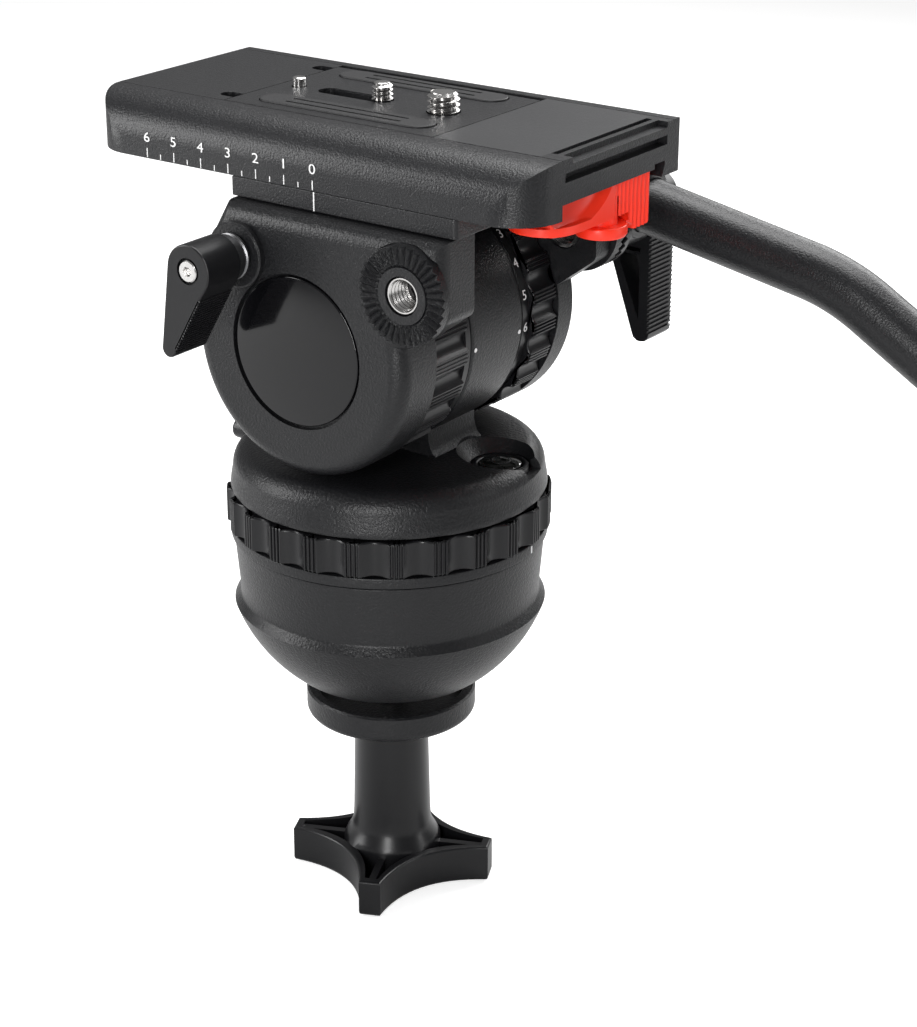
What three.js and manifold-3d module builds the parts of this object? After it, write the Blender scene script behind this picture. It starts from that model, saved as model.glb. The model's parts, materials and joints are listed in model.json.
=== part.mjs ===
// Fluid video head on a 100 mm levelling ball, with a sliding carriage, a camera plate and a pan bar.
// Millimetres, +Z up. The pan axis is Z, and the origin is the centre of the levelling ball.
// The front of the head is -X, and the pan bar is on the +Y side.
import * as THREE from 'three';
import { mergeVertices } from 'three/addons/utils/BufferGeometryUtils.js';
import Module from 'manifold-3d';

// Fits and facets
const SEAT_GAP = 0.3;
const RUN_GAP = 0.3;
const OVERRUN = 2;
const LARGE_SIDES = 36;
const MEDIUM_SIDES = 24;
const SMALL_SIDES = 12;
const ARC_STEPS = 4;
const EDGE_STEPS = 2;
const WIDE_EDGE = 2;
const FLUTE_STEPS = 2;

// Levelling ball
const BALL_RADIUS = 50;
const BALL_FLAT_SHARE = 0.6;
const BALL_FLAT_RADIUS = BALL_FLAT_SHARE * BALL_RADIUS;
const BALL_FLAT_HEIGHT = -Math.sqrt(BALL_RADIUS ** 2 - BALL_FLAT_RADIUS ** 2);
const BALL_SKIRT_TOP = 4.4;
const BALL_SKIRT_SHARE = 0.34;
const BALL_SKIRT_BOTTOM = -BALL_SKIRT_SHARE * BALL_RADIUS;
const BALL_SKIRT_INSET = 3.5;
const BALL_SKIRT_RADIUS = BALL_RADIUS - BALL_SKIRT_INSET;
const BALL_SKIRT_TAPER = 1.5;
const BALL_SKIRT_STEP = 3;
const BALL_SKIRT_EDGE = 0.6;
const BALL_WALL = 12.5;
const BALL_RECESS_RADIUS = BALL_SKIRT_RADIUS - BALL_WALL;
const BALL_RECESS_DEPTH = 12.4;

// Pan axle, its bearings and its brake disc
const PAN_AXLE_RADIUS = 8;
const PAN_AXLE_ROOT = 7.7;
const PAN_FLANGE_ROOM = 4;
const PAN_FLANGE_RADIUS = BALL_RECESS_RADIUS - PAN_FLANGE_ROOM;
const PAN_FLANGE_THICKNESS = 4.7;
const PAN_NUT_RADIUS = 12;
const PAN_NUT_HEIGHT = 2.7;
const PAN_BEARING_WIDTH = 7;
const PAN_DISC_THICKNESS = 3;
const PAN_DISC_BORE_SHARE = 0.48;

// Index ring and pan drag ring
const INDEX_RING_STEP = 1;
const INDEX_RING_RADIUS = BALL_SKIRT_RADIUS + INDEX_RING_STEP;
const INDEX_RING_HEIGHT = 3.3;
const PAN_RING_STEP = 1;
const PAN_RING_RADIUS = INDEX_RING_RADIUS + PAN_RING_STEP;
const PAN_RING_HEIGHT = 10.7;
const PAN_RING_EDGE = 0.8;
const PAN_RING_FLUTES = 24;
const PAN_RING_FLUTE_DEPTH = 1.9;
const PAN_RING_RIB_SHARE = 0.36;
const PAN_RING_TURN_DEGREES = 9.3;
const INDEX_BOTTOM = BALL_SKIRT_TOP + SEAT_GAP;
const INDEX_TOP = INDEX_BOTTOM + INDEX_RING_HEIGHT;
const PAN_RING_BOTTOM = INDEX_TOP + RUN_GAP;
const PAN_RING_TOP = PAN_RING_BOTTOM + PAN_RING_HEIGHT;

// Pan housing
const DOME_STEP = 1.3;
const DOME_RADIUS = PAN_RING_RADIUS - DOME_STEP;
const DOME_WALL_STEP = 0.8;
const DOME_WALL_RADIUS = DOME_RADIUS - DOME_WALL_STEP;
const DOME_SHOULDER = 6.4;
const DOME_CROWN_RADIUS = DOME_WALL_RADIUS - DOME_SHOULDER;
const DOME_GAP = 0.7;
const DOME_BOTTOM = PAN_RING_TOP + DOME_GAP;
const DOME_HEIGHT = 14;
const DOME_TOP = DOME_BOTTOM + DOME_HEIGHT;
const DOME_CROWN_DROP = 1.2;
const DOME_CROWN_HEIGHT = DOME_TOP - DOME_CROWN_DROP;
const DOME_SHOULDER_HEIGHT = 6.5;
const DOME_WALL_TOP = DOME_CROWN_HEIGHT - DOME_SHOULDER_HEIGHT;
const DOME_FLAT_RADIUS = 24;
const DOME_EDGE = 0.8;
const HOUSING_FOOT_ROOM = 3;
const HOUSING_FOOT_RADIUS = BALL_RECESS_RADIUS - HOUSING_FOOT_ROOM;
const HOUSING_BORE_RADIUS = 14.2;
const HOUSING_ROOF = 6.7;
const HOUSING_BORE_TOP = DOME_TOP - HOUSING_ROOF;
const PAN_AXLE_ROOM = 2;
const PAN_AXLE_TOP = HOUSING_BORE_TOP - PAN_AXLE_ROOM;

// Bubble level
const LEVEL_X_SHARE = 0.85;
const LEVEL_Y_SHARE = 0.225;
const LEVEL_X = LEVEL_X_SHARE * DOME_CROWN_RADIUS;
const LEVEL_Y = LEVEL_Y_SHARE * DOME_CROWN_RADIUS;
const LEVEL_DEPTH = 4.9;
const LEVEL_FLOOR = DOME_CROWN_HEIGHT - LEVEL_DEPTH;
const LEVEL_POCKET_RADIUS = 9;
const LEVEL_POCKET_FLARE = 4;
const LEVEL_MOUTH_HALF = 5.4;
const LEVEL_BEZEL_RADIUS = 8.3;
const LEVEL_BEZEL_HEIGHT = 2;
const LEVEL_VIAL_RADIUS = 6.3;
const LEVEL_VIAL_HEIGHT = 2.8;
const LEVEL_VIAL_EDGE = 0.7;

// Pan brake lever
const PAN_BRAKE_Y = 5;
const PAN_BRAKE_HEIGHT = DOME_WALL_TOP + DOME_EDGE;
const PAN_BRAKE_SHAFT_RADIUS = 3.2;
const PAN_BRAKE_SHAFT_LENGTH = 14;
const PAN_BRAKE_GAP = 0.6;
const PAN_BRAKE_THICKNESS = 5.6;
const PAN_BRAKE_FACE = PAN_RING_RADIUS + PAN_BRAKE_GAP + PAN_BRAKE_THICKNESS;
const PAN_BRAKE_HUB_RADIUS = 6;
const PAN_BRAKE_TIP_RADIUS = 3.2;
const PAN_BRAKE_REACH = 10;
const PAN_BRAKE_DROP = 1;
const PAN_BRAKE_EDGE = 1;

// Tilt barrel, seen along the tilt axis, which lies as high as the drag ring needs above the dome
const DRAG_RING_RADIUS = 37;
const DRAG_RING_ROOM = 0.6;
const TILT_AXIS_HEIGHT = DOME_TOP + DRAG_RING_ROOM + DRAG_RING_RADIUS;
const BARREL_NEAR = -8;
const BARREL_FAR = 16.9;
const BARREL_STEP = 1.2;
const BARREL_RADIUS = DRAG_RING_RADIUS - BARREL_STEP;
const BARREL_EDGE = 1;
const HUB_RADIUS = 23.7;
const HUB_NEAR = -26.4;
const HUB_FAR = 33.6;
const HUB_BORE_RADIUS = 20;

// Neck between the dome and the barrel
const NECK_FOOT_HALF = 24;
const NECK_FOOT_DEPTH = 3.7;
const NECK_FOOT_HEIGHT = DOME_TOP - NECK_FOOT_DEPTH;
const NECK_WAIST_HALF = 18;
const NECK_WAIST_RISE = 1.5;
const NECK_WAIST_HEIGHT = DOME_TOP + NECK_WAIST_RISE;
const NECK_TOP_HALF = 20;
const NECK_TOP_DROP = 26.8;
const NECK_TOP_HEIGHT = TILT_AXIS_HEIGHT - NECK_TOP_DROP;

// Counterbalance ring
const BALANCE_RING_STEP = 0.6;
const BALANCE_RING_RADIUS = DRAG_RING_RADIUS - BALANCE_RING_STEP;
const BALANCE_RING_EDGE = 0.8;
const BALANCE_RING_LIP = 2.7;
const BALANCE_FLUTES = 22;
const BALANCE_FLUTE_DEPTH = 1.7;
const BALANCE_RIB_SHARE = 0.42;
const BALANCE_TURN_DEGREES = 12.7;

// Tilt drag ring
const DRAG_BAND_FAR = 22.3;
const DRAG_BAND_DEPTH = 2.6;
const DRAG_BAND_RADIUS = DRAG_RING_RADIUS - DRAG_BAND_DEPTH;
const DRAG_BAND_STEP = 0.5;
const DRAG_RING_FAR = 33.3;
const DRAG_RING_EDGE = 0.8;
const DRAG_FLUTES = 24;
const DRAG_FLUTE_DEPTH = 1.7;
const DRAG_RIB_SHARE = 0.4;
const DRAG_TURN_DEGREES = 6.1;

// Tilt axle, bearings, spring and drag discs
const AXLE_RADIUS = 9;
const AXLE_NEAR = -33.7;
const AXLE_FAR = 38.7;
const TILT_BEARING_WIDTH = 6;
const SPRING_WIRE_RADIUS = 1.7;
const SPRING_TURNS = 4;
const SPRING_STEPS_PER_TURN = 8;
const SPRING_SIDES = 6;
const TILT_DISC_THICKNESS = 3;
const TILT_DISC_FIRST = 8;
const TILT_DISC_COUNT = 3;
const TILT_DISC_PITCH = 5;

// Cheeks, seen from the side with the tilt axis at the centre
const CHEEK_DISC_RADIUS = DRAG_RING_RADIUS;
const CHEEK_TOP = 39.1;
const CHEEK_FRONT_TOP = -25.3;
const CHEEK_REAR = 49.5;
const CHEEK_REAR_BOTTOM = 16.7;
const CHEEK_SLANT_X = 35;
const CHEEK_SLANT_Z = 6.7;
const CHEEK_CORNER = 3.5;
const NEAR_CHEEK_FACE = -42.7;
const NEAR_CHEEK_INNER = -26.7;
const NEAR_CHEEK_EDGE = 5;
const FAR_CHEEK_INNER = 33.9;
const FAR_CHEEK_FACE = 42.7;
const FAR_CHEEK_EDGE = 2;
const BRAKE_BOSS_X = -21;
const BRAKE_BOSS_Z = 26.7;
const BRAKE_BOSS_RADIUS = 10;
const BADGE_RADIUS = 21.6;
const BADGE_GAP = 0.9;
const BADGE_RECESS_DEPTH = 2;
const BADGE_RIM = 1.4;
const BADGE_CROWN = 0.9;
const FAR_BADGE_RECESS_DEPTH = 1.2;
const AXLE_SCREW_RADIUS = 3;
const AXLE_SCREW_HEAD_RADIUS = 6;
const AXLE_SCREW_HEAD = 2.6;
const AXLE_SCREW_LENGTH = 14;

// Accessory rosettes
const ROSETTE_X = 38;
const ROSETTE_Z = 23.7;
const ROSETTE_RADIUS = 13.9;
const ROSETTE_INNER_RADIUS = 8.1;
const ROSETTE_TEETH = 36;
const ROSETTE_TOOTH = 1.1;
const ROSETTE_SEAT_DEPTH = 1.5;
const NEAR_ROSETTE_CREST = -45.2;
const FAR_ROSETTE_CREST = 45.9;
const INSERT_RADIUS = 5.2;
const INSERT_BORE_RADIUS = 4.2;
const INSERT_LENGTH = 9;
const INSERT_STEP = 0.5;

// Tilt brake
const TILT_BRAKE_X = -19.5;
const TILT_BRAKE_Z = 25.2;
const TILT_BRAKE_FACE = -64.2;
const TILT_BRAKE_BACK = -50.5;
const TILT_BRAKE_HEAD_RADIUS = 7.5;
const TILT_BRAKE_TIP_RADIUS = 2.5;
const TILT_BRAKE_TIP_X = -27.6;
const TILT_BRAKE_TIP_Z = 1.4;
const TILT_BRAKE_EDGE = 0.8;
const TILT_BRAKE_RECESS_RADIUS = 3.8;
const TILT_BRAKE_RECESS_DEPTH = 1.6;
const TILT_BRAKE_COLLAR_RADIUS = 6.6;
const TILT_BRAKE_COLLAR_BACK = -45.3;
const TILT_BRAKE_SHAFT_RADIUS = 4;
const TILT_BRAKE_SHAFT_END = -33;
const TILT_BRAKE_BOSS_FACE = -45;
const TILT_BRAKE_BOSS_RADIUS = 9.4;
const BRAKE_SCREW_RADIUS = 2;
const BRAKE_SCREW_HEAD_RADIUS = 3.1;
const BRAKE_SCREW_HEAD = 1.5;
const BRAKE_SCREW_LENGTH = 12;
const BRAKE_SCREW_SOCKET = 1.3;

// Platform with its dovetail rail, a little narrower than the carriage
const CARRIAGE_HALF = 37.2;
const PLATFORM_INSET = 0.5;
const PLATFORM_FRONT = -26.4;
const PLATFORM_REAR = 50.5;
const PLATFORM_HALF = CARRIAGE_HALF - PLATFORM_INSET;
const PLATFORM_BOTTOM = CHEEK_TOP + SEAT_GAP;
const PLATFORM_THICKNESS = 5.6;
const PLATFORM_TOP = PLATFORM_BOTTOM + PLATFORM_THICKNESS;
const RAIL_DOVETAIL = 2;
const RAIL_CLEARANCE = 0.5;
const PLATFORM_BEVEL = 1;

// Slide lock on the far cheek
const SLIDE_LOCK_X = -12;
const SLIDE_LOCK_Z = 31;
const SLIDE_LOCK_SHAFT_RADIUS = 3.5;
const SLIDE_LOCK_HUB_RADIUS = 7;
const SLIDE_LOCK_THICKNESS = 7;
const SLIDE_LOCK_REACH = 22;
const SLIDE_LOCK_DROP = 5;
const SLIDE_LOCK_TIP_RADIUS = 3.6;
const SLIDE_LOCK_EDGE = 1;

// Carriage, with heights above its near leg's bottom edge
const CARRIAGE_FRONT = -80.6;
const CARRIAGE_REAR = 74.2;
const CARRIAGE_DECK = 16.3;
const CARRIAGE_SHOULDER = 15;
const CARRIAGE_SHOULDER_START = 5.4;
const CARRIAGE_CORNER = 14;
const CARRIAGE_FAR_CORNER = 1.2;
const CARRIAGE_WEB_BOTTOM = 4.2;
const CARRIAGE_FAR_BOTTOM = 1.3;
const CARRIAGE_FAR_WALL = 8.2;
const CARRIAGE_FAR_BEVEL = 0.8;
const CARRIAGE_NEAR_LEG = 16.7;
const LEG_INNER = CARRIAGE_NEAR_LEG - CARRIAGE_HALF;
const WALL_INNER = CARRIAGE_HALF - CARRIAGE_FAR_WALL;
const GIB_GROOVE_WIDTH = 5.3;
const GIB_GROOVE_TOP = 5.6;
const END_SLIT_X = 67.3;
const END_SLIT_WIDTH = 2;
const END_SLIT_DEPTH = 2.2;
const END_NEAR_MARGIN = 19.7;
const END_FAR_MARGIN = 7.2;
const END_SLIT_NEAR = END_NEAR_MARGIN - CARRIAGE_HALF;
const END_SLIT_FAR = CARRIAGE_HALF - END_FAR_MARGIN;
const END_LIP_REAR = 71;
const END_LIP_DROP = 1.6;
const END_GROOVE_REACH = 3.5;
const END_GROOVE_NEAR = END_SLIT_NEAR - END_GROOVE_REACH;
const END_GROOVE_HEIGHT = 11.3;
const END_GROOVE_WIDTH = 2.6;
const END_GROOVE_DEPTH = 3;

// Camera plate and what it holds
const PLATE_FRONT = -40.8;
const PLATE_REAR = 32;
const PLATE_NEAR_MARGIN = 15.5;
const PLATE_FAR_MARGIN = 7;
const PLATE_NEAR = PLATE_NEAR_MARGIN - CARRIAGE_HALF;
const PLATE_FAR = CARRIAGE_HALF - PLATE_FAR_MARGIN;
const PLATE_THICKNESS = 8.6;
const PLATE_EDGE = 0.5;
const RELIEF_RADIUS = 2.5;
const RELIEF_REACH = 3.4;
const RELIEF_INSET = 6.4;
const STRIP_FRONT = -34.2;
const NEAR_STRIP_REAR = 25.4;
const FAR_STRIP_REAR = 24;
const NEAR_STRIP_SHARE = 0.175;
const FAR_STRIP_SHARE = 0.886;
const STRIP_WIDTH_SHARE = 0.185;
const NEAR_STRIP_Y = PLATE_NEAR + NEAR_STRIP_SHARE * (PLATE_FAR - PLATE_NEAR);
const FAR_STRIP_Y = PLATE_NEAR + FAR_STRIP_SHARE * (PLATE_FAR - PLATE_NEAR);
const STRIP_WIDTH = STRIP_WIDTH_SHARE * (PLATE_FAR - PLATE_NEAR);
const STRIP_HEIGHT = 1.5;
const STRIP_SEAT_DEPTH = 1;
const STRIP_GROOVE_WIDTH = 1.1;
const STRIP_GROOVE_DEPTH = 0.4;
const STRIP_GROOVE_OFFSET = 1.9;
const PIN_X = -34.7;
const PIN_Y = 4.1;
const PIN_RADIUS = 1.95;
const PIN_HEIGHT = 2.7;
const PIN_HIDDEN = 4.6;
const PIN_EDGE = 0.4;
const SLOT_FRONT = -23.7;
const QUARTER_X = -4.7;
const QUARTER_Y = 4.4;
const QUARTER_RADIUS = 3.05;
const QUARTER_NECK_RADIUS = 2.2;
const QUARTER_HEIGHT = 5.3;
const QUARTER_HEAD_RADIUS = 5.6;
const QUARTER_HEAD_HEIGHT = 2.2;
const WASHER_RADIUS = 5.2;
const WASHER_THICKNESS = 0.8;
const THREE_EIGHTHS_X = 17.7;
const THREE_EIGHTHS_Y = 3;
const THREE_EIGHTHS_RADIUS = 4.6;
const THREE_EIGHTHS_HEIGHT = 5.8;
const THREE_EIGHTHS_HEAD_RADIUS = 7.2;
const SCREW_POINT = 0.8;

// Jaw and its release lever
const JAW_WIDTH = 2.2;
const JAW_HEIGHT = 6.6;
const JAW_TRAVEL = 2.2;
const RELEASE_PIVOT_X = 67.5;
const RELEASE_PIVOT_Y = 7.5;
const RELEASE_REAR = 72.4;
const RELEASE_FRONT = 59.5;
const RELEASE_LEG_GAP = 0.6;
const RELEASE_FAR_MARGIN = 11.9;
const RELEASE_NEAR = LEG_INNER + RELEASE_LEG_GAP;
const RELEASE_FAR = CARRIAGE_HALF - RELEASE_FAR_MARGIN;
const RELEASE_CORNER = 2;
const RELEASE_ROOM = 1.6;
const RELEASE_BODY_HEIGHT = 9.8;
const RELEASE_GRIP_HEIGHT = 15.2;
const RELEASE_GRIP_NEAR = 6.8;
const RELEASE_FLUTES = 9;
const RELEASE_FLUTE_DEPTH = 0.7;
const RELEASE_BLADE_THICKNESS = 2.8;
const RELEASE_BLADE_X = 54.5;
const RELEASE_BLADE_TURN_X = 62;
const RELEASE_BLADE_REACH = 2;
const RELEASE_BLADE_NEAR = LEG_INNER - RELEASE_BLADE_REACH;
const RELEASE_BLADE_FAR = -4.5;
const RELEASE_BLADE_ROUND = 2.5;
const RELEASE_SCOOP_RADIUS = 22;
const RELEASE_SCOOP_Y = -9;
const RELEASE_SCOOP_FAR = 2.2;
const RELEASE_SCOOP_DEPTH = 4.2;
const RELEASE_ARCH_RADIUS = 11;
const RELEASE_ARCH_RISE = 0.3;
const BUTTON_RADIUS = 7.3;
const BUTTON_HEIGHT = 3.4;
const BUTTON_STEM_RADIUS = 4.5;
const BUTTON_STEM = 3.6;
const BUTTON_TRAVEL = 2;
const BUTTON_EDGE = 0.6;
const PIVOT_PIN_RADIUS = 2;
const PIVOT_PIN_SEAT = 3;

// Pan bar and its clamp
const BAR_Y = 60.8;
const BAR_RADIUS = 8.25;
const BAR_START_X = 44.5;
const BAR_OFFSET = 5.8;
const BAR_SLOPE_DEGREES = 10.8;
const BAR_BEND_X = 104;
const BAR_BEND_DEGREES = 20;
const BAR_BEND_RADIUS = 62;
const BAR_RUN = 215;
const BAR_SIDES = 20;
const BAR_BEND_STEPS = 5;
const GRIP_RADIUS = 12.5;
const GRIP_LENGTH = 118;
const GRIP_WAIST = 1.2;
const CAP_RADIUS = 12;
const CAP_LENGTH = 9;
const CAP_CROWN = 3;
const CLAMP_RADIUS = 11.4;
const CLAMP_NEAR = 49;
const CLAMP_FAR = 70;
const CLAMP_SOCKET_RADIUS = 10.6;
const CLAMP_SOCKET_LENGTH = 12.5;
const CLAMP_SCREW_RADIUS = 4;
const CLAMP_SCREW_START = 37.5;
const CLAMP_SCREW_END = 78;

// Wing lever
const WING_NEAR = 70.3;
const WING_FAR = 85.3;
const WING_HUB_RADIUS = 8.4;
const WING_GRIP_NEAR = 72;
const WING_LENGTH = 43.6;
const WING_REAR_OFFSET = 7;
const WING_FRONT_OFFSET = -12;
const WING_TIP_FRONT_OFFSET = 0.6;
const WING_TIP_RADIUS = 3;
const WING_WALL = 2.4;
const WING_REAR_WALL = 3.3;
const WING_HOLLOW_TOP = 14;
const WING_HOLLOW_DEPTH = 9;
const WING_RIBS = 21;
const WING_RIB_DEPTH = 0.6;
const WING_RIB_TOP = 10;

// Tie-down
const STUD_RADIUS = 6;
const STUD_ROOF = 6;
const CUP_RADIUS = 26;
const CUP_ROOM = 7.5;
const CUP_TOP = BALL_FLAT_HEIGHT - CUP_ROOM;
const CUP_HEIGHT = 8.5;
const CUP_BOTTOM = CUP_TOP - CUP_HEIGHT;
const CUP_RIM = 3.5;
const CUP_FLOOR = 4;
const CUP_EDGE = 2.5;
const KNOB_NECK_RADIUS = 11.3;
const KNOB_FOOT_RADIUS = 12;
const KNOB_FLARE_RADIUS = 15.5;
const KNOB_NECK_LENGTH = 45;
const KNOB_RIM = CUP_BOTTOM - KNOB_NECK_LENGTH;
const KNOB_FLARE_RISE = 6;
const KNOB_FLARE_HEIGHT = KNOB_RIM + KNOB_FLARE_RISE;
const KNOB_STAR_HEIGHT = 12.2;
const KNOB_BOTTOM = KNOB_RIM - KNOB_STAR_HEIGHT;
const STUD_REST = 7.2;
const STUD_END = KNOB_BOTTOM + STUD_REST;
const KNOB_TIP_REACH = 31.5;
const KNOB_TIP_HALF = 3.4;
const KNOB_WAIST_CONTROL = 10.4;
const KNOB_TIPS = 4;
const KNOB_TURN_DEGREES = -66;
const KNOB_WALL = 2.6;
const KNOB_RIB = 2.2;
const KNOB_EDGE = 1;
const NUT_RADIUS = 9;
const NUT_DEPTH = 4;
const NUT_TOP = CUP_BOTTOM - NUT_DEPTH;
const NUT_LENGTH = 20;

const wasm = await Module();
wasm.setup();

// Finishes
function finish(colour, roughness, metalness = 0) {
  return new THREE.MeshStandardMaterial({ color: colour, roughness, metalness });
}

const CAST = finish(0x232427, 0.55, 0.3);
const ANODISED = finish(0x2b2c2f, 0.45, 0.5);
const MOULDED = finish(0x161618, 0.5);
const RUBBER = finish(0x101012, 0.85);
const STEEL = finish(0xb9bcc0, 0.3, 1);
const DARK_STEEL = finish(0x55585c, 0.4, 1);
const GLOSS = finish(0x0c0c0e, 0.08);
const RED = finish(0xff4630, 0.4);
const LIQUID = finish(0xb8c060, 0.1);
const FRICTION = finish(0x6a4a34, 0.8);

// Turning geometry into solids and back
function signedVolume(points, triangles) {
  const a = new THREE.Vector3();
  const b = new THREE.Vector3();
  const c = new THREE.Vector3();
  let volume = 0;
  for (let i = 0; i < triangles.length; i += 3) {
    a.fromArray(points, triangles[i] * 3);
    b.fromArray(points, triangles[i + 1] * 3);
    c.fromArray(points, triangles[i + 2] * 3);
    volume += a.dot(b.cross(c)) / 6;
  }
  return volume;
}

function solid(geometry) {
  const bare = geometry.clone();
  bare.deleteAttribute('normal');
  bare.deleteAttribute('uv');
  const merged = mergeVertices(bare);
  const vertProperties = Float32Array.from(merged.attributes.position.array);
  const triVerts = Uint32Array.from(merged.index.array);
  if (signedVolume(vertProperties, triVerts) < 0) triVerts.reverse();
  return new wasm.Manifold(new wasm.Mesh({ numProp: 3, vertProperties, triVerts }));
}

function geometryOf(manifold) {
  const mesh = manifold.getMesh();
  const geometry = new THREE.BufferGeometry();
  geometry.setAttribute('position', new THREE.BufferAttribute(mesh.vertProperties, 3));
  geometry.setIndex(new THREE.BufferAttribute(mesh.triVerts, 1));
  geometry.computeVertexNormals();
  return geometry;
}

function join(first, ...others) {
  return others.reduce((whole, other) => whole.add(other), first);
}

function cut(first, ...others) {
  return others.reduce((whole, other) => whole.subtract(other), first);
}

function addPiece(group, name, manifold, material) {
  const mesh = new THREE.Mesh(geometryOf(manifold), material);
  mesh.name = name;
  group.add(mesh);
  return mesh;
}

// Turning a shape's own axes to the part's axes: the third vector is the shape's depth
const TO_AXIS = {
  x: [new THREE.Vector3(0, 1, 0), new THREE.Vector3(0, 0, 1), new THREE.Vector3(1, 0, 0)],
  y: [new THREE.Vector3(0, 0, 1), new THREE.Vector3(1, 0, 0), new THREE.Vector3(0, 1, 0)],
  z: [new THREE.Vector3(1, 0, 0), new THREE.Vector3(0, 1, 0), new THREE.Vector3(0, 0, 1)],
};

function turnTo(geometry, axis) {
  return geometry.applyMatrix4(new THREE.Matrix4().makeBasis(...TO_AXIS[axis]));
}

// A solid of revolution about an axis. Each profile point is [radius, place along the axis].
function turned(profile, sides = MEDIUM_SIDES, axis = 'z', x = 0, y = 0, z = 0) {
  const points = profile.map(([radius, place]) => new THREE.Vector2(radius, place));
  const closed = points[0].x > 0 || points[points.length - 1].x > 0;
  if (closed) points.push(points[0].clone());
  const lathe = new THREE.LatheGeometry(points, sides).rotateX(Math.PI / 2);
  return solid(turnTo(lathe, axis).translate(x, y, z));
}

function rod(radius, low, high, sides = SMALL_SIDES, axis = 'z', x = 0, y = 0, z = 0) {
  return turned([[0, low], [radius, low], [radius, high], [0, high]], sides, axis, x, y, z);
}

function ring(inner, outer, low, high, sides = MEDIUM_SIDES, axis = 'z', x = 0, y = 0, z = 0) {
  return turned([[inner, low], [outer, low], [outer, high], [inner, high]], sides, axis, x, y, z);
}

function block(x0, x1, y0, y1, z0, z1) {
  const box = new THREE.BoxGeometry(x1 - x0, y1 - y0, z1 - z0);
  return solid(box.translate((x0 + x1) / 2, (y0 + y1) / 2, (z0 + z1) / 2));
}

// A prism along an axis. Along x a shape holds (y, z), along y it holds (z, x), along z it holds (x, y).
function prism(shape, axis, low, high, edge = 0, curveSegments = ARC_STEPS) {
  const settings = edge > 0
    ? { depth: high - low - 2 * edge, bevelEnabled: true, bevelSize: edge, bevelThickness: edge,
      bevelOffset: -edge, bevelSegments: edge > WIDE_EDGE ? EDGE_STEPS : 1, curveSegments }
    : { depth: high - low, bevelEnabled: false, curveSegments };
  const extrusion = new THREE.ExtrudeGeometry(shape, settings).translate(0, 0, low + edge);
  return solid(turnTo(extrusion, axis));
}

// A shape from points, with the corners that have a radius rounded
function outline(points) {
  const shape = new THREE.Shape();
  const count = points.length;
  points.forEach(([x, y, radius = 0], i) => {
    const corner = new THREE.Vector2(x, y);
    if (radius === 0) {
      if (i === 0) shape.moveTo(x, y);
      else shape.lineTo(x, y);
      return;
    }
    const before = new THREE.Vector2(...points[(i + count - 1) % count]).sub(corner);
    const after = new THREE.Vector2(...points[(i + 1) % count]).sub(corner);
    const turn = Math.acos(before.dot(after) / (before.length() * after.length()));
    const reach = radius / Math.tan(turn / 2);
    const start = corner.clone().addScaledVector(before.normalize(), reach);
    const end = corner.clone().addScaledVector(after.normalize(), reach);
    if (i === 0) shape.moveTo(start.x, start.y);
    else shape.lineTo(start.x, start.y);
    shape.quadraticCurveTo(corner.x, corner.y, end.x, end.y);
  });
  shape.closePath();
  return shape;
}

// The outline round two circles, as [first, second], each { x, y, radius }
function strapShape(first, second) {
  const along = Math.atan2(second.y - first.y, second.x - first.x);
  const distance = Math.hypot(second.x - first.x, second.y - first.y);
  const spread = Math.acos((first.radius - second.radius) / distance);
  const shape = new THREE.Shape();
  shape.absarc(first.x, first.y, first.radius, along + spread, along - spread + 2 * Math.PI, false);
  shape.absarc(second.x, second.y, second.radius, along - spread, along + spread, false);
  shape.closePath();
  return shape;
}

// A ring's outline with hollow flutes between flat-topped ribs
function flutedShape(radius, flutes, depth, ribShare, turnDegrees) {
  const shape = new THREE.Shape();
  const start = THREE.MathUtils.degToRad(turnDegrees);
  const pitch = 2 * Math.PI / flutes;
  const ribHalf = pitch * ribShare / 2;
  for (let i = 0; i < flutes; i += 1) {
    const rib = start + i * pitch;
    const next = rib + pitch - ribHalf;
    const middle = rib + pitch / 2;
    const at = (angle, reach) => [reach * Math.cos(angle), reach * Math.sin(angle)];
    if (i === 0) shape.moveTo(...at(rib - ribHalf, radius));
    shape.lineTo(...at(rib + ribHalf, radius));
    shape.quadraticCurveTo(...at(middle, radius - 2 * depth), ...at(next, radius));
  }
  shape.closePath();
  return shape;
}

// A fluted ring with bevelled ends round a bore, about z or y
function flutedRing(axis, { radius, bore, low, high, edge, flutes, depth, ribShare, turnDegrees }) {
  const shape = flutedShape(radius, flutes, depth, ribShare, turnDegrees);
  const fluted = prism(shape, axis, low, high, 0, FLUTE_STEPS);
  const ends = turned([
    [0, low], [radius - edge, low], [radius + OVERRUN, low + edge + OVERRUN],
    [radius + OVERRUN, high - edge - OVERRUN], [radius - edge, high], [0, high],
  ], LARGE_SIDES, axis);
  return cut(fluted.intersect(ends), rod(bore, low - OVERRUN, high + OVERRUN, MEDIUM_SIDES, axis));
}

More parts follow.
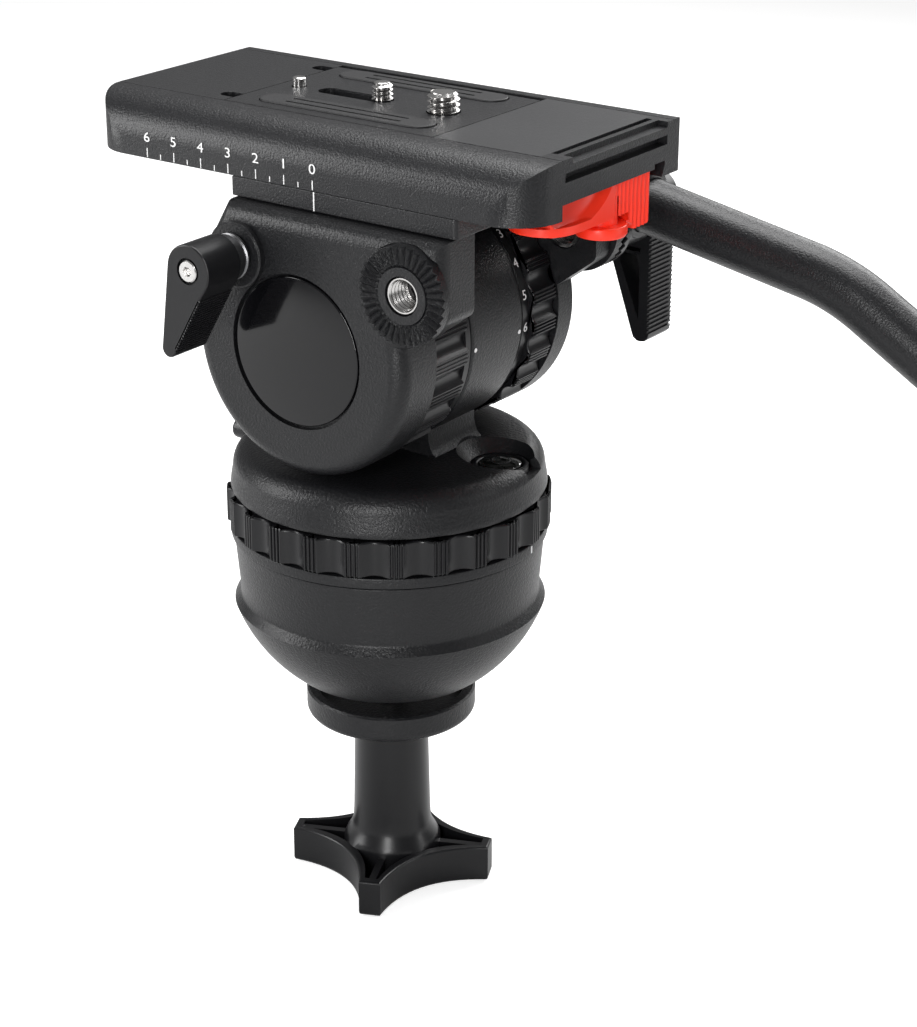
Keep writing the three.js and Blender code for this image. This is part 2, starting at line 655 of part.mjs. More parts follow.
// A disc with V teeth that fade towards a flat centre with a bore; its crest looks away from its base
function rosette(bore, base, crest) {
  const steps = 2 * ROSETTE_TEETH;
  const facing = Math.sign(crest - base);
  const valley = crest - facing * ROSETTE_TOOTH;
  const points = [];
  for (let i = 0; i < steps; i += 1) {
    const angle = 2 * Math.PI * i / steps;
    const height = i % 2 === 0 ? crest : valley;
    const rows = [[bore, base], [ROSETTE_RADIUS, base], [ROSETTE_RADIUS, height],
      [ROSETTE_INNER_RADIUS, valley], [bore, valley]];
    rows.forEach(([r, y]) => points.push(r * Math.cos(angle), y, r * Math.sin(angle)));
  }
  const rows = points.length / 3 / steps;
  const index = [];
  for (let i = 0; i < steps; i += 1) {
    for (let j = 0; j < rows; j += 1) {
      const a = i * rows + j;
      const b = i * rows + (j + 1) % rows;
      const c = ((i + 1) % steps) * rows + j;
      const d = ((i + 1) % steps) * rows + (j + 1) % rows;
      index.push(a, b, c, c, b, d);
    }
  }
  const geometry = new THREE.BufferGeometry();
  geometry.setAttribute('position', new THREE.Float32BufferAttribute(points, 3));
  geometry.setIndex(index);
  return solid(geometry.translate(ROSETTE_X, 0, ROSETTE_Z));
}

const head = new THREE.Group();
const base = new THREE.Group();
const panUnit = new THREE.Group();
const tiltUnit = new THREE.Group();
const carriageUnit = new THREE.Group();
tiltUnit.position.z = TILT_AXIS_HEIGHT;
const CARRIAGE_HEIGHT = TILT_AXIS_HEIGHT + PLATFORM_TOP + RUN_GAP;
carriageUnit.position.z = CARRIAGE_HEIGHT;
head.add(base, panUnit, tiltUnit, carriageUnit);

// Levelling ball with a recess for the pan axle's flange and a bore for the stud
const BALL_FLOOR = BALL_SKIRT_TOP - BALL_RECESS_DEPTH;
const AXLE_BORE_BOTTOM = BALL_FLOOR - PAN_AXLE_ROOT - SEAT_GAP;
const STUD_BORE_TOP = AXLE_BORE_BOTTOM - STUD_ROOF;
const STUD_TOP = STUD_BORE_TOP - SEAT_GAP;

function buildHalfBall() {
  const start = Math.acos(BALL_FLAT_RADIUS / BALL_RADIUS);
  const end = Math.asin(-BALL_SKIRT_BOTTOM / BALL_RADIUS);
  const sphere = [];
  for (let i = 0; i <= ARC_STEPS; i += 1) {
    const angle = start + (end - start) * i / ARC_STEPS;
    sphere.push([BALL_RADIUS * Math.cos(angle), -BALL_RADIUS * Math.sin(angle)]);
  }
  return turned([
    [0, STUD_BORE_TOP], [STUD_RADIUS + SEAT_GAP, STUD_BORE_TOP],
    [STUD_RADIUS + SEAT_GAP, BALL_FLAT_HEIGHT], ...sphere,
    [BALL_SKIRT_RADIUS - BALL_SKIRT_TAPER, BALL_SKIRT_BOTTOM + BALL_SKIRT_STEP],
    [BALL_SKIRT_RADIUS, BALL_SKIRT_TOP - BALL_SKIRT_EDGE],
    [BALL_SKIRT_RADIUS - BALL_SKIRT_EDGE, BALL_SKIRT_TOP],
    [BALL_RECESS_RADIUS, BALL_SKIRT_TOP], [BALL_RECESS_RADIUS, BALL_FLOOR],
    [PAN_AXLE_RADIUS + SEAT_GAP, BALL_FLOOR], [PAN_AXLE_RADIUS + SEAT_GAP, AXLE_BORE_BOTTOM],
    [0, AXLE_BORE_BOTTOM],
  ], LARGE_SIDES);
}

// Pan axle: a flanged post, with two bearings, a nut and the friction disc on it
const FLANGE_BOTTOM = BALL_FLOOR + SEAT_GAP;
const FLANGE_TOP = FLANGE_BOTTOM + PAN_FLANGE_THICKNESS;
const FOOT_BOTTOM = FLANGE_TOP + PAN_DISC_THICKNESS + 2 * SEAT_GAP;

function buildPanAxle() {
  return turned([
    [0, AXLE_BORE_BOTTOM + SEAT_GAP], [PAN_AXLE_RADIUS, AXLE_BORE_BOTTOM + SEAT_GAP],
    [PAN_AXLE_RADIUS, FLANGE_BOTTOM], [PAN_FLANGE_RADIUS, FLANGE_BOTTOM],
    [PAN_FLANGE_RADIUS, FLANGE_TOP], [PAN_AXLE_RADIUS, FLANGE_TOP],
    [PAN_AXLE_RADIUS, PAN_AXLE_TOP], [0, PAN_AXLE_TOP],
  ], MEDIUM_SIDES);
}

function buildPanInnards() {
  const bore = PAN_AXLE_RADIUS + SEAT_GAP;
  const race = HOUSING_BORE_RADIUS - RUN_GAP;
  const nutTop = PAN_AXLE_TOP - SEAT_GAP;
  const nutBottom = nutTop - PAN_NUT_HEIGHT;
  const upper = nutBottom - SEAT_GAP;
  addPiece(base, 'pan_bearing_lower',
    ring(bore, race, FOOT_BOTTOM, FOOT_BOTTOM + PAN_BEARING_WIDTH, SMALL_SIDES), STEEL);
  addPiece(base, 'pan_bearing_upper', ring(bore, race, upper - PAN_BEARING_WIDTH, upper, SMALL_SIDES), STEEL);
  addPiece(base, 'pan_axle_nut', ring(bore, PAN_NUT_RADIUS, nutBottom, nutTop, SMALL_SIDES), STEEL);
  addPiece(base, 'pan_drag_disc', ring(PAN_DISC_BORE_SHARE * PAN_FLANGE_RADIUS,
    PAN_FLANGE_RADIUS, FLANGE_TOP + SEAT_GAP, FLANGE_TOP + SEAT_GAP + PAN_DISC_THICKNESS), FRICTION);
}

function buildPanRing() {
  return flutedRing('z', {
    radius: PAN_RING_RADIUS, bore: HOUSING_FOOT_RADIUS + 2 * RUN_GAP, low: PAN_RING_BOTTOM,
    high: PAN_RING_TOP, edge: PAN_RING_EDGE, flutes: PAN_RING_FLUTES,
    depth: PAN_RING_FLUTE_DEPTH, ribShare: PAN_RING_RIB_SHARE, turnDegrees: PAN_RING_TURN_DEGREES,
  });
}

// Tie-down: the stud, the cup under the bowl, and the star knob with its steel nut
function buildCup() {
  const bore = STUD_RADIUS + RUN_GAP;
  return turned([
    [bore, CUP_BOTTOM], [CUP_RADIUS - CUP_EDGE, CUP_BOTTOM], [CUP_RADIUS, CUP_BOTTOM + CUP_EDGE],
    [CUP_RADIUS, CUP_TOP], [CUP_RADIUS - CUP_RIM, CUP_TOP],
    [CUP_RADIUS - CUP_RIM, CUP_BOTTOM + CUP_FLOOR], [bore, CUP_BOTTOM + CUP_FLOOR],
  ], MEDIUM_SIDES);
}

function starShape(inset) {
  const reach = KNOB_TIP_REACH - inset;
  const half = KNOB_TIP_HALF - inset / 2;
  const waist = KNOB_WAIST_CONTROL - inset;
  const shape = new THREE.Shape();
  const start = THREE.MathUtils.degToRad(KNOB_TURN_DEGREES);
  const pitch = 2 * Math.PI / KNOB_TIPS;
  const at = (angle, along, across) => [
    along * Math.cos(angle) - across * Math.sin(angle),
    along * Math.sin(angle) + across * Math.cos(angle)];
  shape.moveTo(...at(start, reach, -half));
  for (let i = 0; i < KNOB_TIPS; i += 1) {
    const angle = start + i * pitch;
    shape.lineTo(...at(angle, reach, half));
    shape.quadraticCurveTo(...at(angle + pitch / 2, waist, 0), ...at(angle + pitch, reach, -half));
  }
  return shape;
}

const KNOB_TOP = CUP_BOTTOM - RUN_GAP;

function buildKnob() {
  const floor = KNOB_BOTTOM + KNOB_WALL;
  const hub = turned([
    [0, floor - KNOB_WALL / 2], [KNOB_FLARE_RADIUS, floor - KNOB_WALL / 2],
    [KNOB_FLARE_RADIUS, KNOB_RIM], [KNOB_FOOT_RADIUS, KNOB_FLARE_HEIGHT],
    [KNOB_NECK_RADIUS, KNOB_TOP - KNOB_EDGE], [KNOB_NECK_RADIUS - KNOB_EDGE, KNOB_TOP], [0, KNOB_TOP],
  ], MEDIUM_SIDES);
  const star = prism(starShape(0), 'z', KNOB_BOTTOM, KNOB_RIM, KNOB_EDGE);
  const hollow = prism(starShape(KNOB_WALL), 'z', floor, KNOB_RIM + OVERRUN);
  const ribs = [];
  for (let i = 0; i < KNOB_TIPS / 2; i += 1) {
    const rib = new THREE.BoxGeometry(2 * (KNOB_TIP_REACH - KNOB_WALL / 2), KNOB_RIB,
      KNOB_RIM - KNOB_EDGE - floor + KNOB_WALL / 2);
    rib.translate(0, 0, (KNOB_RIM - KNOB_EDGE + floor - KNOB_WALL / 2) / 2);
    rib.rotateZ(THREE.MathUtils.degToRad(KNOB_TURN_DEGREES) + i * 2 * Math.PI / KNOB_TIPS);
    ribs.push(solid(rib));
  }
  const bore = rod(STUD_RADIUS + RUN_GAP, KNOB_BOTTOM + KNOB_WALL, KNOB_TOP + OVERRUN);
  const nutSeat = rod(NUT_RADIUS + SEAT_GAP, NUT_TOP - NUT_LENGTH - SEAT_GAP, KNOB_TOP + OVERRUN);
  return cut(join(cut(star, hollow), hub, ...ribs), bore, nutSeat);
}

function buildBase() {
  addPiece(base, 'half_ball', buildHalfBall(), CAST);
  addPiece(base, 'pan_axle', buildPanAxle(), DARK_STEEL);
  buildPanInnards();
  addPiece(base, 'pan_index_ring', ring(HOUSING_FOOT_RADIUS + RUN_GAP, INDEX_RING_RADIUS,
    INDEX_BOTTOM, INDEX_TOP, LARGE_SIDES), CAST);
  addPiece(base, 'pan_drag_ring', buildPanRing(), MOULDED);
  addPiece(base, 'tie_down_stud', rod(STUD_RADIUS, STUD_END, STUD_TOP), STEEL);
  addPiece(base, 'tie_down_cup', buildCup(), CAST);
  addPiece(base, 'tie_down_knob', buildKnob(), MOULDED);
  addPiece(base, 'tie_down_nut', ring(STUD_RADIUS + RUN_GAP, NUT_RADIUS, NUT_TOP - NUT_LENGTH,
    NUT_TOP, SMALL_SIDES), STEEL);
}

// Pan housing: dome, neck and tilt barrel in one casting
function buildDome() {
  const crown = [];
  for (let i = 0; i <= ARC_STEPS / 2; i += 1) {
    const angle = Math.PI * i / ARC_STEPS;
    crown.push([
      DOME_CROWN_RADIUS + (DOME_WALL_RADIUS - DOME_CROWN_RADIUS) * Math.cos(angle),
      DOME_WALL_TOP + (DOME_CROWN_HEIGHT - DOME_WALL_TOP) * Math.sin(angle)]);
  }
  return turned([
    [HOUSING_BORE_RADIUS, FOOT_BOTTOM], [HOUSING_FOOT_RADIUS, FOOT_BOTTOM],
    [HOUSING_FOOT_RADIUS, DOME_BOTTOM], [DOME_RADIUS - DOME_EDGE, DOME_BOTTOM],
    [DOME_RADIUS, DOME_BOTTOM + DOME_EDGE], ...crown, [DOME_FLAT_RADIUS, DOME_TOP], [0, DOME_TOP],
    [0, HOUSING_BORE_TOP], [HOUSING_BORE_RADIUS, HOUSING_BORE_TOP], [HOUSING_BORE_RADIUS, FOOT_BOTTOM],
  ], LARGE_SIDES);
}

function buildNeck() {
  const top = NECK_TOP_HEIGHT;
  const shape = new THREE.Shape();
  shape.moveTo(NECK_FOOT_HEIGHT, -NECK_FOOT_HALF);
  shape.lineTo(NECK_FOOT_HEIGHT, NECK_FOOT_HALF);
  shape.lineTo(DOME_CROWN_HEIGHT, NECK_FOOT_HALF);
  shape.quadraticCurveTo(NECK_WAIST_HEIGHT, NECK_WAIST_HALF, top, NECK_TOP_HALF);
  shape.lineTo(top, -NECK_TOP_HALF);
  shape.quadraticCurveTo(NECK_WAIST_HEIGHT, -NECK_WAIST_HALF, DOME_CROWN_HEIGHT, -NECK_FOOT_HALF);
  shape.closePath();
  return prism(shape, 'y', BARREL_NEAR + BARREL_EDGE, BARREL_FAR - BARREL_EDGE);
}

// The level's pocket flares upwards and opens through the dome's shoulder
function levelPocket() {
  const rim = LEVEL_POCKET_RADIUS + LEVEL_POCKET_FLARE;
  const bowl = turned([
    [0, LEVEL_FLOOR], [LEVEL_POCKET_RADIUS, LEVEL_FLOOR],
    [LEVEL_POCKET_RADIUS, LEVEL_FLOOR + LEVEL_BEZEL_HEIGHT], [rim, DOME_TOP], [rim, DOME_TOP + OVERRUN],
    [0, DOME_TOP + OVERRUN],
  ], LARGE_SIDES, 'z', LEVEL_X, LEVEL_Y);
  const outwards = DOME_RADIUS / Math.hypot(LEVEL_X, LEVEL_Y);
  const mouth = strapShape({ x: LEVEL_X, y: LEVEL_Y, radius: LEVEL_MOUTH_HALF },
    { x: LEVEL_X * outwards, y: LEVEL_Y * outwards, radius: LEVEL_MOUTH_HALF });
  return join(bowl, prism(mouth, 'z', LEVEL_FLOOR, DOME_TOP));
}

function buildPanHousing() {
  const z = TILT_AXIS_HEIGHT;
  const barrel = turned([
    [0, BARREL_NEAR], [BARREL_RADIUS - BARREL_EDGE, BARREL_NEAR],
    [BARREL_RADIUS, BARREL_NEAR + BARREL_EDGE], [BARREL_RADIUS, BARREL_FAR - BARREL_EDGE],
    [BARREL_RADIUS - BARREL_EDGE, BARREL_FAR], [0, BARREL_FAR],
  ], LARGE_SIDES, 'y', 0, 0, z);
  const hub = rod(HUB_RADIUS, HUB_NEAR, HUB_FAR, MEDIUM_SIDES, 'y', 0, 0, z);
  const bore = rod(HUB_BORE_RADIUS, HUB_NEAR - OVERRUN, HUB_FAR + OVERRUN, MEDIUM_SIDES, 'y', 0, 0, z);
  const brakeBore = rod(PAN_BRAKE_SHAFT_RADIUS + RUN_GAP, -PAN_BRAKE_FACE,
    -PAN_BRAKE_FACE + PAN_BRAKE_THICKNESS + PAN_BRAKE_SHAFT_LENGTH + SEAT_GAP,
    SMALL_SIDES, 'x', 0, PAN_BRAKE_Y, PAN_BRAKE_HEIGHT);
  return cut(join(buildDome(), buildNeck(), barrel, hub), bore, levelPocket(), brakeBore);
}

function buildLevel() {
  const floor = LEVEL_FLOOR + SEAT_GAP;
  const inner = LEVEL_VIAL_RADIUS + SEAT_GAP;
  addPiece(panUnit, 'bubble_level_bezel', ring(inner, LEVEL_BEZEL_RADIUS, floor,
    floor + LEVEL_BEZEL_HEIGHT, MEDIUM_SIDES, 'z', LEVEL_X, LEVEL_Y), MOULDED);
  addPiece(panUnit, 'bubble_level_vial', turned([
    [0, floor], [LEVEL_VIAL_RADIUS, floor],
    [LEVEL_VIAL_RADIUS, floor + LEVEL_VIAL_HEIGHT - LEVEL_VIAL_EDGE],
    [LEVEL_VIAL_RADIUS - LEVEL_VIAL_EDGE, floor + LEVEL_VIAL_HEIGHT], [0, floor + LEVEL_VIAL_HEIGHT],
  ], MEDIUM_SIDES, 'z', LEVEL_X, LEVEL_Y), LIQUID);
}

// Pan brake: a small lever on a shaft that enters the dome from the front
function buildPanBrake() {
  const back = -PAN_BRAKE_FACE + PAN_BRAKE_THICKNESS;
  const shape = strapShape({ x: PAN_BRAKE_Y, y: PAN_BRAKE_HEIGHT, radius: PAN_BRAKE_HUB_RADIUS },
    { x: PAN_BRAKE_Y - PAN_BRAKE_REACH, y: PAN_BRAKE_HEIGHT - PAN_BRAKE_DROP,
      radius: PAN_BRAKE_TIP_RADIUS });
  const lever = prism(shape, 'x', -PAN_BRAKE_FACE, back, PAN_BRAKE_EDGE);
  const seat = rod(PAN_BRAKE_SHAFT_RADIUS + SEAT_GAP, back - PAN_BRAKE_THICKNESS / 2, back + OVERRUN,
    SMALL_SIDES, 'x', 0, PAN_BRAKE_Y, PAN_BRAKE_HEIGHT);
  addPiece(panUnit, 'pan_brake_lever', cut(lever, seat), MOULDED);
  addPiece(panUnit, 'pan_brake_shaft', rod(PAN_BRAKE_SHAFT_RADIUS,
    back - PAN_BRAKE_THICKNESS / 2 + SEAT_GAP, back + PAN_BRAKE_SHAFT_LENGTH,
    SMALL_SIDES, 'x', 0, PAN_BRAKE_Y, PAN_BRAKE_HEIGHT), STEEL);
}

// Rings and innards on the tilt axis
function buildBalanceRing() {
  const bore = HUB_RADIUS + 2 * RUN_GAP;
  const high = BARREL_NEAR - RUN_GAP;
  const fluted = flutedRing('y', {
    radius: BALANCE_RING_RADIUS, bore, low: HUB_NEAR, high, edge: BALANCE_RING_EDGE,
    flutes: BALANCE_FLUTES, depth: BALANCE_FLUTE_DEPTH, ribShare: BALANCE_RIB_SHARE,
    turnDegrees: BALANCE_TURN_DEGREES,
  });
  const lip = ring(bore, BALANCE_RING_RADIUS - BALANCE_RING_EDGE, high - BALANCE_RING_LIP, high,
    LARGE_SIDES, 'y');
  return join(fluted, lip);
}

function buildDragRing() {
  const near = BARREL_FAR + RUN_GAP;
  const inner = HUB_RADIUS + 2 * RUN_GAP;
  const fluted = flutedRing('y', {
    radius: DRAG_RING_RADIUS, bore: inner, low: DRAG_BAND_FAR, high: DRAG_RING_FAR,
    edge: DRAG_RING_EDGE, flutes: DRAG_FLUTES, depth: DRAG_FLUTE_DEPTH, ribShare: DRAG_RIB_SHARE,
    turnDegrees: DRAG_TURN_DEGREES,
  });
  const band = turned([
    [inner, near], [DRAG_BAND_RADIUS - DRAG_BAND_STEP, near], [DRAG_BAND_RADIUS, near + DRAG_BAND_STEP],
    [DRAG_BAND_RADIUS, DRAG_BAND_FAR + DRAG_BAND_STEP], [inner, DRAG_BAND_FAR + DRAG_BAND_STEP],
  ], LARGE_SIDES, 'y');
  return join(fluted, band);
}

// The spring lies in the hub's bore between the near bearing and the first disc
const SPRING_RADIUS = HUB_BORE_RADIUS - SPRING_WIRE_RADIUS - SEAT_GAP;
const SPRING_START = HUB_NEAR + TILT_BEARING_WIDTH + SPRING_WIRE_RADIUS + SEAT_GAP;
const SPRING_END = TILT_DISC_FIRST - SPRING_WIRE_RADIUS - SEAT_GAP;

class SpringPath extends THREE.Curve {
  getPoint(t, target = new THREE.Vector3()) {
    const angle = 2 * Math.PI * SPRING_TURNS * t;
    return target.set(SPRING_RADIUS * Math.cos(angle),
      SPRING_START + (SPRING_END - SPRING_START) * t, SPRING_RADIUS * Math.sin(angle));
  }
}

function buildSpring() {
  const wire = new THREE.Shape();
  wire.absarc(0, 0, SPRING_WIRE_RADIUS, 0, 2 * Math.PI);
  return solid(new THREE.ExtrudeGeometry(wire, {
    extrudePath: new SpringPath(), steps: SPRING_TURNS * SPRING_STEPS_PER_TURN,
    curveSegments: SPRING_SIDES / 2, bevelEnabled: false,
  }));
}

function buildTiltInnards(group) {
  const inner = AXLE_RADIUS + RUN_GAP;
  const outer = HUB_BORE_RADIUS - SEAT_GAP;
  const nearEnd = HUB_NEAR + TILT_BEARING_WIDTH;
  addPiece(group, 'tilt_bearing_near', ring(inner, outer, HUB_NEAR, nearEnd, MEDIUM_SIDES, 'y'), STEEL);
  addPiece(group, 'tilt_bearing_far', ring(inner, outer, HUB_FAR - TILT_BEARING_WIDTH, HUB_FAR,
    MEDIUM_SIDES, 'y'), STEEL);
  addPiece(group, 'counterbalance_spring', buildSpring(), DARK_STEEL);
  for (let i = 0; i < TILT_DISC_COUNT; i += 1) {
    const near = TILT_DISC_FIRST + i * TILT_DISC_PITCH;
    addPiece(group, `tilt_drag_disc_${i + 1}`,
      ring(inner, outer, near, near + TILT_DISC_THICKNESS, MEDIUM_SIDES, 'y'), FRICTION);
  }
}

function buildPanUnit() {
  addPiece(panUnit, 'pan_housing', buildPanHousing(), CAST);
  buildLevel();
  buildPanBrake();
  const axisGroup = new THREE.Group();
  axisGroup.position.z = TILT_AXIS_HEIGHT;
  panUnit.add(axisGroup);
  addPiece(axisGroup, 'counterbalance_ring', buildBalanceRing(), MOULDED);
  addPiece(axisGroup, 'tilt_drag_ring', buildDragRing(), MOULDED);
  buildTiltInnards(axisGroup);
}

// Cheeks: a disc round the tilt axis that grows into a block behind and, near side, a brake boss
function cheekShape(withBoss) {
  const shape = new THREE.Shape();
  const slant = Math.atan2(CHEEK_SLANT_Z, CHEEK_SLANT_X);
  const bossAngle = Math.atan2(BRAKE_BOSS_Z, BRAKE_BOSS_X);
  const bossDistance = Math.hypot(BRAKE_BOSS_X, BRAKE_BOSS_Z);
  const spread = Math.acos((CHEEK_DISC_RADIUS - BRAKE_BOSS_RADIUS) / bossDistance);
  const left = bossAngle + spread;
  shape.moveTo(CHEEK_TOP, CHEEK_FRONT_TOP);
  shape.lineTo(CHEEK_TOP, CHEEK_REAR);
  const lower = new THREE.Vector2(CHEEK_REAR_BOTTOM - CHEEK_SLANT_Z, CHEEK_REAR - CHEEK_SLANT_X)
    .normalize().multiplyScalar(CHEEK_CORNER);
  shape.lineTo(CHEEK_REAR_BOTTOM + CHEEK_CORNER, CHEEK_REAR);
  shape.quadraticCurveTo(CHEEK_REAR_BOTTOM, CHEEK_REAR,
    CHEEK_REAR_BOTTOM - lower.x, CHEEK_REAR - lower.y);
  // The disc runs from the slanted edge, under the axis, to the front; angles count from +X to +Z
  const end = withBoss ? left - 2 * Math.PI : Math.PI - 2 * Math.PI - slant;
  for (let i = 0; i <= 4 * ARC_STEPS; i += 1) {
    const angle = slant + (end - slant) * i / (4 * ARC_STEPS);
    shape.lineTo(CHEEK_DISC_RADIUS * Math.sin(angle), CHEEK_DISC_RADIUS * Math.cos(angle));
  }
  if (withBoss) {
    for (let i = 0; i <= EDGE_STEPS; i += 1) {
      const angle = left - (left - bossAngle) * i / (2 * EDGE_STEPS);
      shape.lineTo(BRAKE_BOSS_Z + BRAKE_BOSS_RADIUS * Math.sin(angle),
        BRAKE_BOSS_X + BRAKE_BOSS_RADIUS * Math.cos(angle));
    }
  }
  shape.closePath();
  return shape;
}

// The round-edged cheek face is the extrusion's outer end; its inner end is cut off square
function cheek(shape, inner, face, edge) {
  const low = Math.min(inner, face);
  const high = Math.max(inner, face);
  const back = edge + OVERRUN;
  const whole = face < inner
    ? prism(shape, 'y', low, high + back, edge) : prism(shape, 'y', low - back, high, edge);
  const half = 2 * CHEEK_REAR;
  const waste = face < inner
    ? block(-half, half, high, high + 2 * back, -half, half)
    : block(-half, half, low - 2 * back, low, -half, half);
  return cut(whole, waste);
}

function buildNearCheek() {
  const body = cheek(cheekShape(true), NEAR_CHEEK_INNER, NEAR_CHEEK_FACE, NEAR_CHEEK_EDGE);
  const floor = NEAR_CHEEK_FACE + BADGE_RECESS_DEPTH;
  const headSeat = floor + AXLE_SCREW_HEAD + 2 * SEAT_GAP;
  const boss = rod(TILT_BRAKE_BOSS_RADIUS, TILT_BRAKE_BOSS_FACE, NEAR_CHEEK_FACE + OVERRUN,
    MEDIUM_SIDES, 'y', TILT_BRAKE_X, 0, TILT_BRAKE_Z);
  return cut(join(body, boss),
    rod(BADGE_RADIUS + BADGE_GAP, NEAR_CHEEK_FACE - OVERRUN, floor, LARGE_SIDES, 'y'),
    rod(AXLE_SCREW_HEAD_RADIUS + SEAT_GAP, floor - OVERRUN, headSeat, SMALL_SIDES, 'y'),
    rod(AXLE_SCREW_RADIUS + SEAT_GAP, floor, NEAR_CHEEK_INNER, SMALL_SIDES, 'y'),
    rod(AXLE_RADIUS + SEAT_GAP, AXLE_NEAR - SEAT_GAP, NEAR_CHEEK_INNER + OVERRUN, MEDIUM_SIDES, 'y'),
    rod(ROSETTE_RADIUS + SEAT_GAP, NEAR_CHEEK_FACE - OVERRUN, NEAR_CHEEK_FACE + ROSETTE_SEAT_DEPTH,
      LARGE_SIDES, 'y', ROSETTE_X, 0, ROSETTE_Z),
    rod(INSERT_RADIUS + SEAT_GAP, NEAR_CHEEK_FACE - OVERRUN, NEAR_CHEEK_FACE + INSERT_LENGTH,
      SMALL_SIDES, 'y', ROSETTE_X, 0, ROSETTE_Z),
    rod(TILT_BRAKE_SHAFT_RADIUS + RUN_GAP, TILT_BRAKE_BOSS_FACE - OVERRUN,
      TILT_BRAKE_SHAFT_END + SEAT_GAP, SMALL_SIDES, 'y', TILT_BRAKE_X, 0, TILT_BRAKE_Z));
}

function buildFarCheek() {
  const body = cheek(cheekShape(false), FAR_CHEEK_INNER, FAR_CHEEK_FACE, FAR_CHEEK_EDGE);
  return cut(body,
    rod(BADGE_RADIUS + BADGE_GAP, FAR_CHEEK_FACE - FAR_BADGE_RECESS_DEPTH, FAR_CHEEK_FACE + OVERRUN,
      LARGE_SIDES, 'y'),
    rod(AXLE_RADIUS + SEAT_GAP, FAR_CHEEK_INNER - OVERRUN, AXLE_FAR + SEAT_GAP, MEDIUM_SIDES, 'y'),
    rod(ROSETTE_RADIUS + SEAT_GAP, FAR_CHEEK_FACE - ROSETTE_SEAT_DEPTH, FAR_CHEEK_FACE + OVERRUN,
      LARGE_SIDES, 'y', ROSETTE_X, 0, ROSETTE_Z),
    rod(INSERT_RADIUS + SEAT_GAP, FAR_CHEEK_INNER - OVERRUN, FAR_CHEEK_FACE + OVERRUN,
      SMALL_SIDES, 'y', ROSETTE_X, 0, ROSETTE_Z),
    rod(SLIDE_LOCK_SHAFT_RADIUS + RUN_GAP, FAR_CHEEK_INNER - OVERRUN, FAR_CHEEK_FACE + OVERRUN,
      SMALL_SIDES, 'y', SLIDE_LOCK_X, 0, SLIDE_LOCK_Z));
}

function buildBadge(back, facing) {
  const rim = back + facing * BADGE_RIM;
  return turned([
    [0, back], [BADGE_RADIUS, back], [BADGE_RADIUS, rim - facing * BADGE_CROWN / 2],
    [BADGE_RADIUS - BADGE_CROWN / 2, rim], [BADGE_RADIUS / 2, rim + facing * BADGE_CROWN * 3 / 4],
    [0, rim + facing * BADGE_CROWN],
  ], LARGE_SIDES, 'y');
}

function buildInsert(face, length, facing) {
  const y = face - facing * INSERT_STEP;
  const end = y - facing * length;
  return ring(INSERT_BORE_RADIUS, INSERT_RADIUS, Math.min(y, end), Math.max(y, end),
    SMALL_SIDES, 'y', ROSETTE_X, 0, ROSETTE_Z);
}

function buildRosettes() {
  const bore = INSERT_RADIUS + SEAT_GAP;
  const nearFlat = NEAR_ROSETTE_CREST + ROSETTE_TOOTH;
  const farFlat = FAR_ROSETTE_CREST - ROSETTE_TOOTH;
  const nearSeat = NEAR_CHEEK_FACE + ROSETTE_SEAT_DEPTH - SEAT_GAP;
  const farSeat = FAR_CHEEK_FACE - ROSETTE_SEAT_DEPTH + SEAT_GAP;
  addPiece(tiltUnit, 'near_rosette', rosette(bore, nearSeat, NEAR_ROSETTE_CREST), CAST);
  addPiece(tiltUnit, 'near_rosette_insert',
    buildInsert(nearFlat, NEAR_CHEEK_FACE + INSERT_LENGTH - nearFlat - 2 * INSERT_STEP, -1), STEEL);
  addPiece(tiltUnit, 'far_rosette', rosette(bore, farSeat, FAR_ROSETTE_CREST), CAST);
  addPiece(tiltUnit, 'far_rosette_insert',
    buildInsert(farFlat, farFlat - FAR_CHEEK_INNER - 2 * INSERT_STEP, 1), STEEL);
}

function buildTiltAxle() {
  const seat = AXLE_NEAR + AXLE_SCREW_LENGTH - OVERRUN;
  const axle = rod(AXLE_RADIUS, AXLE_NEAR, AXLE_FAR, MEDIUM_SIDES, 'y');
  const bore = rod(AXLE_SCREW_RADIUS + SEAT_GAP, AXLE_NEAR - OVERRUN, seat, SMALL_SIDES, 'y');
  addPiece(tiltUnit, 'tilt_axle', cut(axle, bore), DARK_STEEL);
  const head = NEAR_CHEEK_FACE + BADGE_RECESS_DEPTH + SEAT_GAP;
  const shoulder = head + AXLE_SCREW_HEAD;
  addPiece(tiltUnit, 'axle_screw', turned([
    [0, head], [AXLE_SCREW_HEAD_RADIUS, head], [AXLE_SCREW_HEAD_RADIUS, shoulder],
    [AXLE_SCREW_RADIUS, shoulder], [AXLE_SCREW_RADIUS, seat - SEAT_GAP], [0, seat - SEAT_GAP],
  ], SMALL_SIDES, 'y'), STEEL);
}

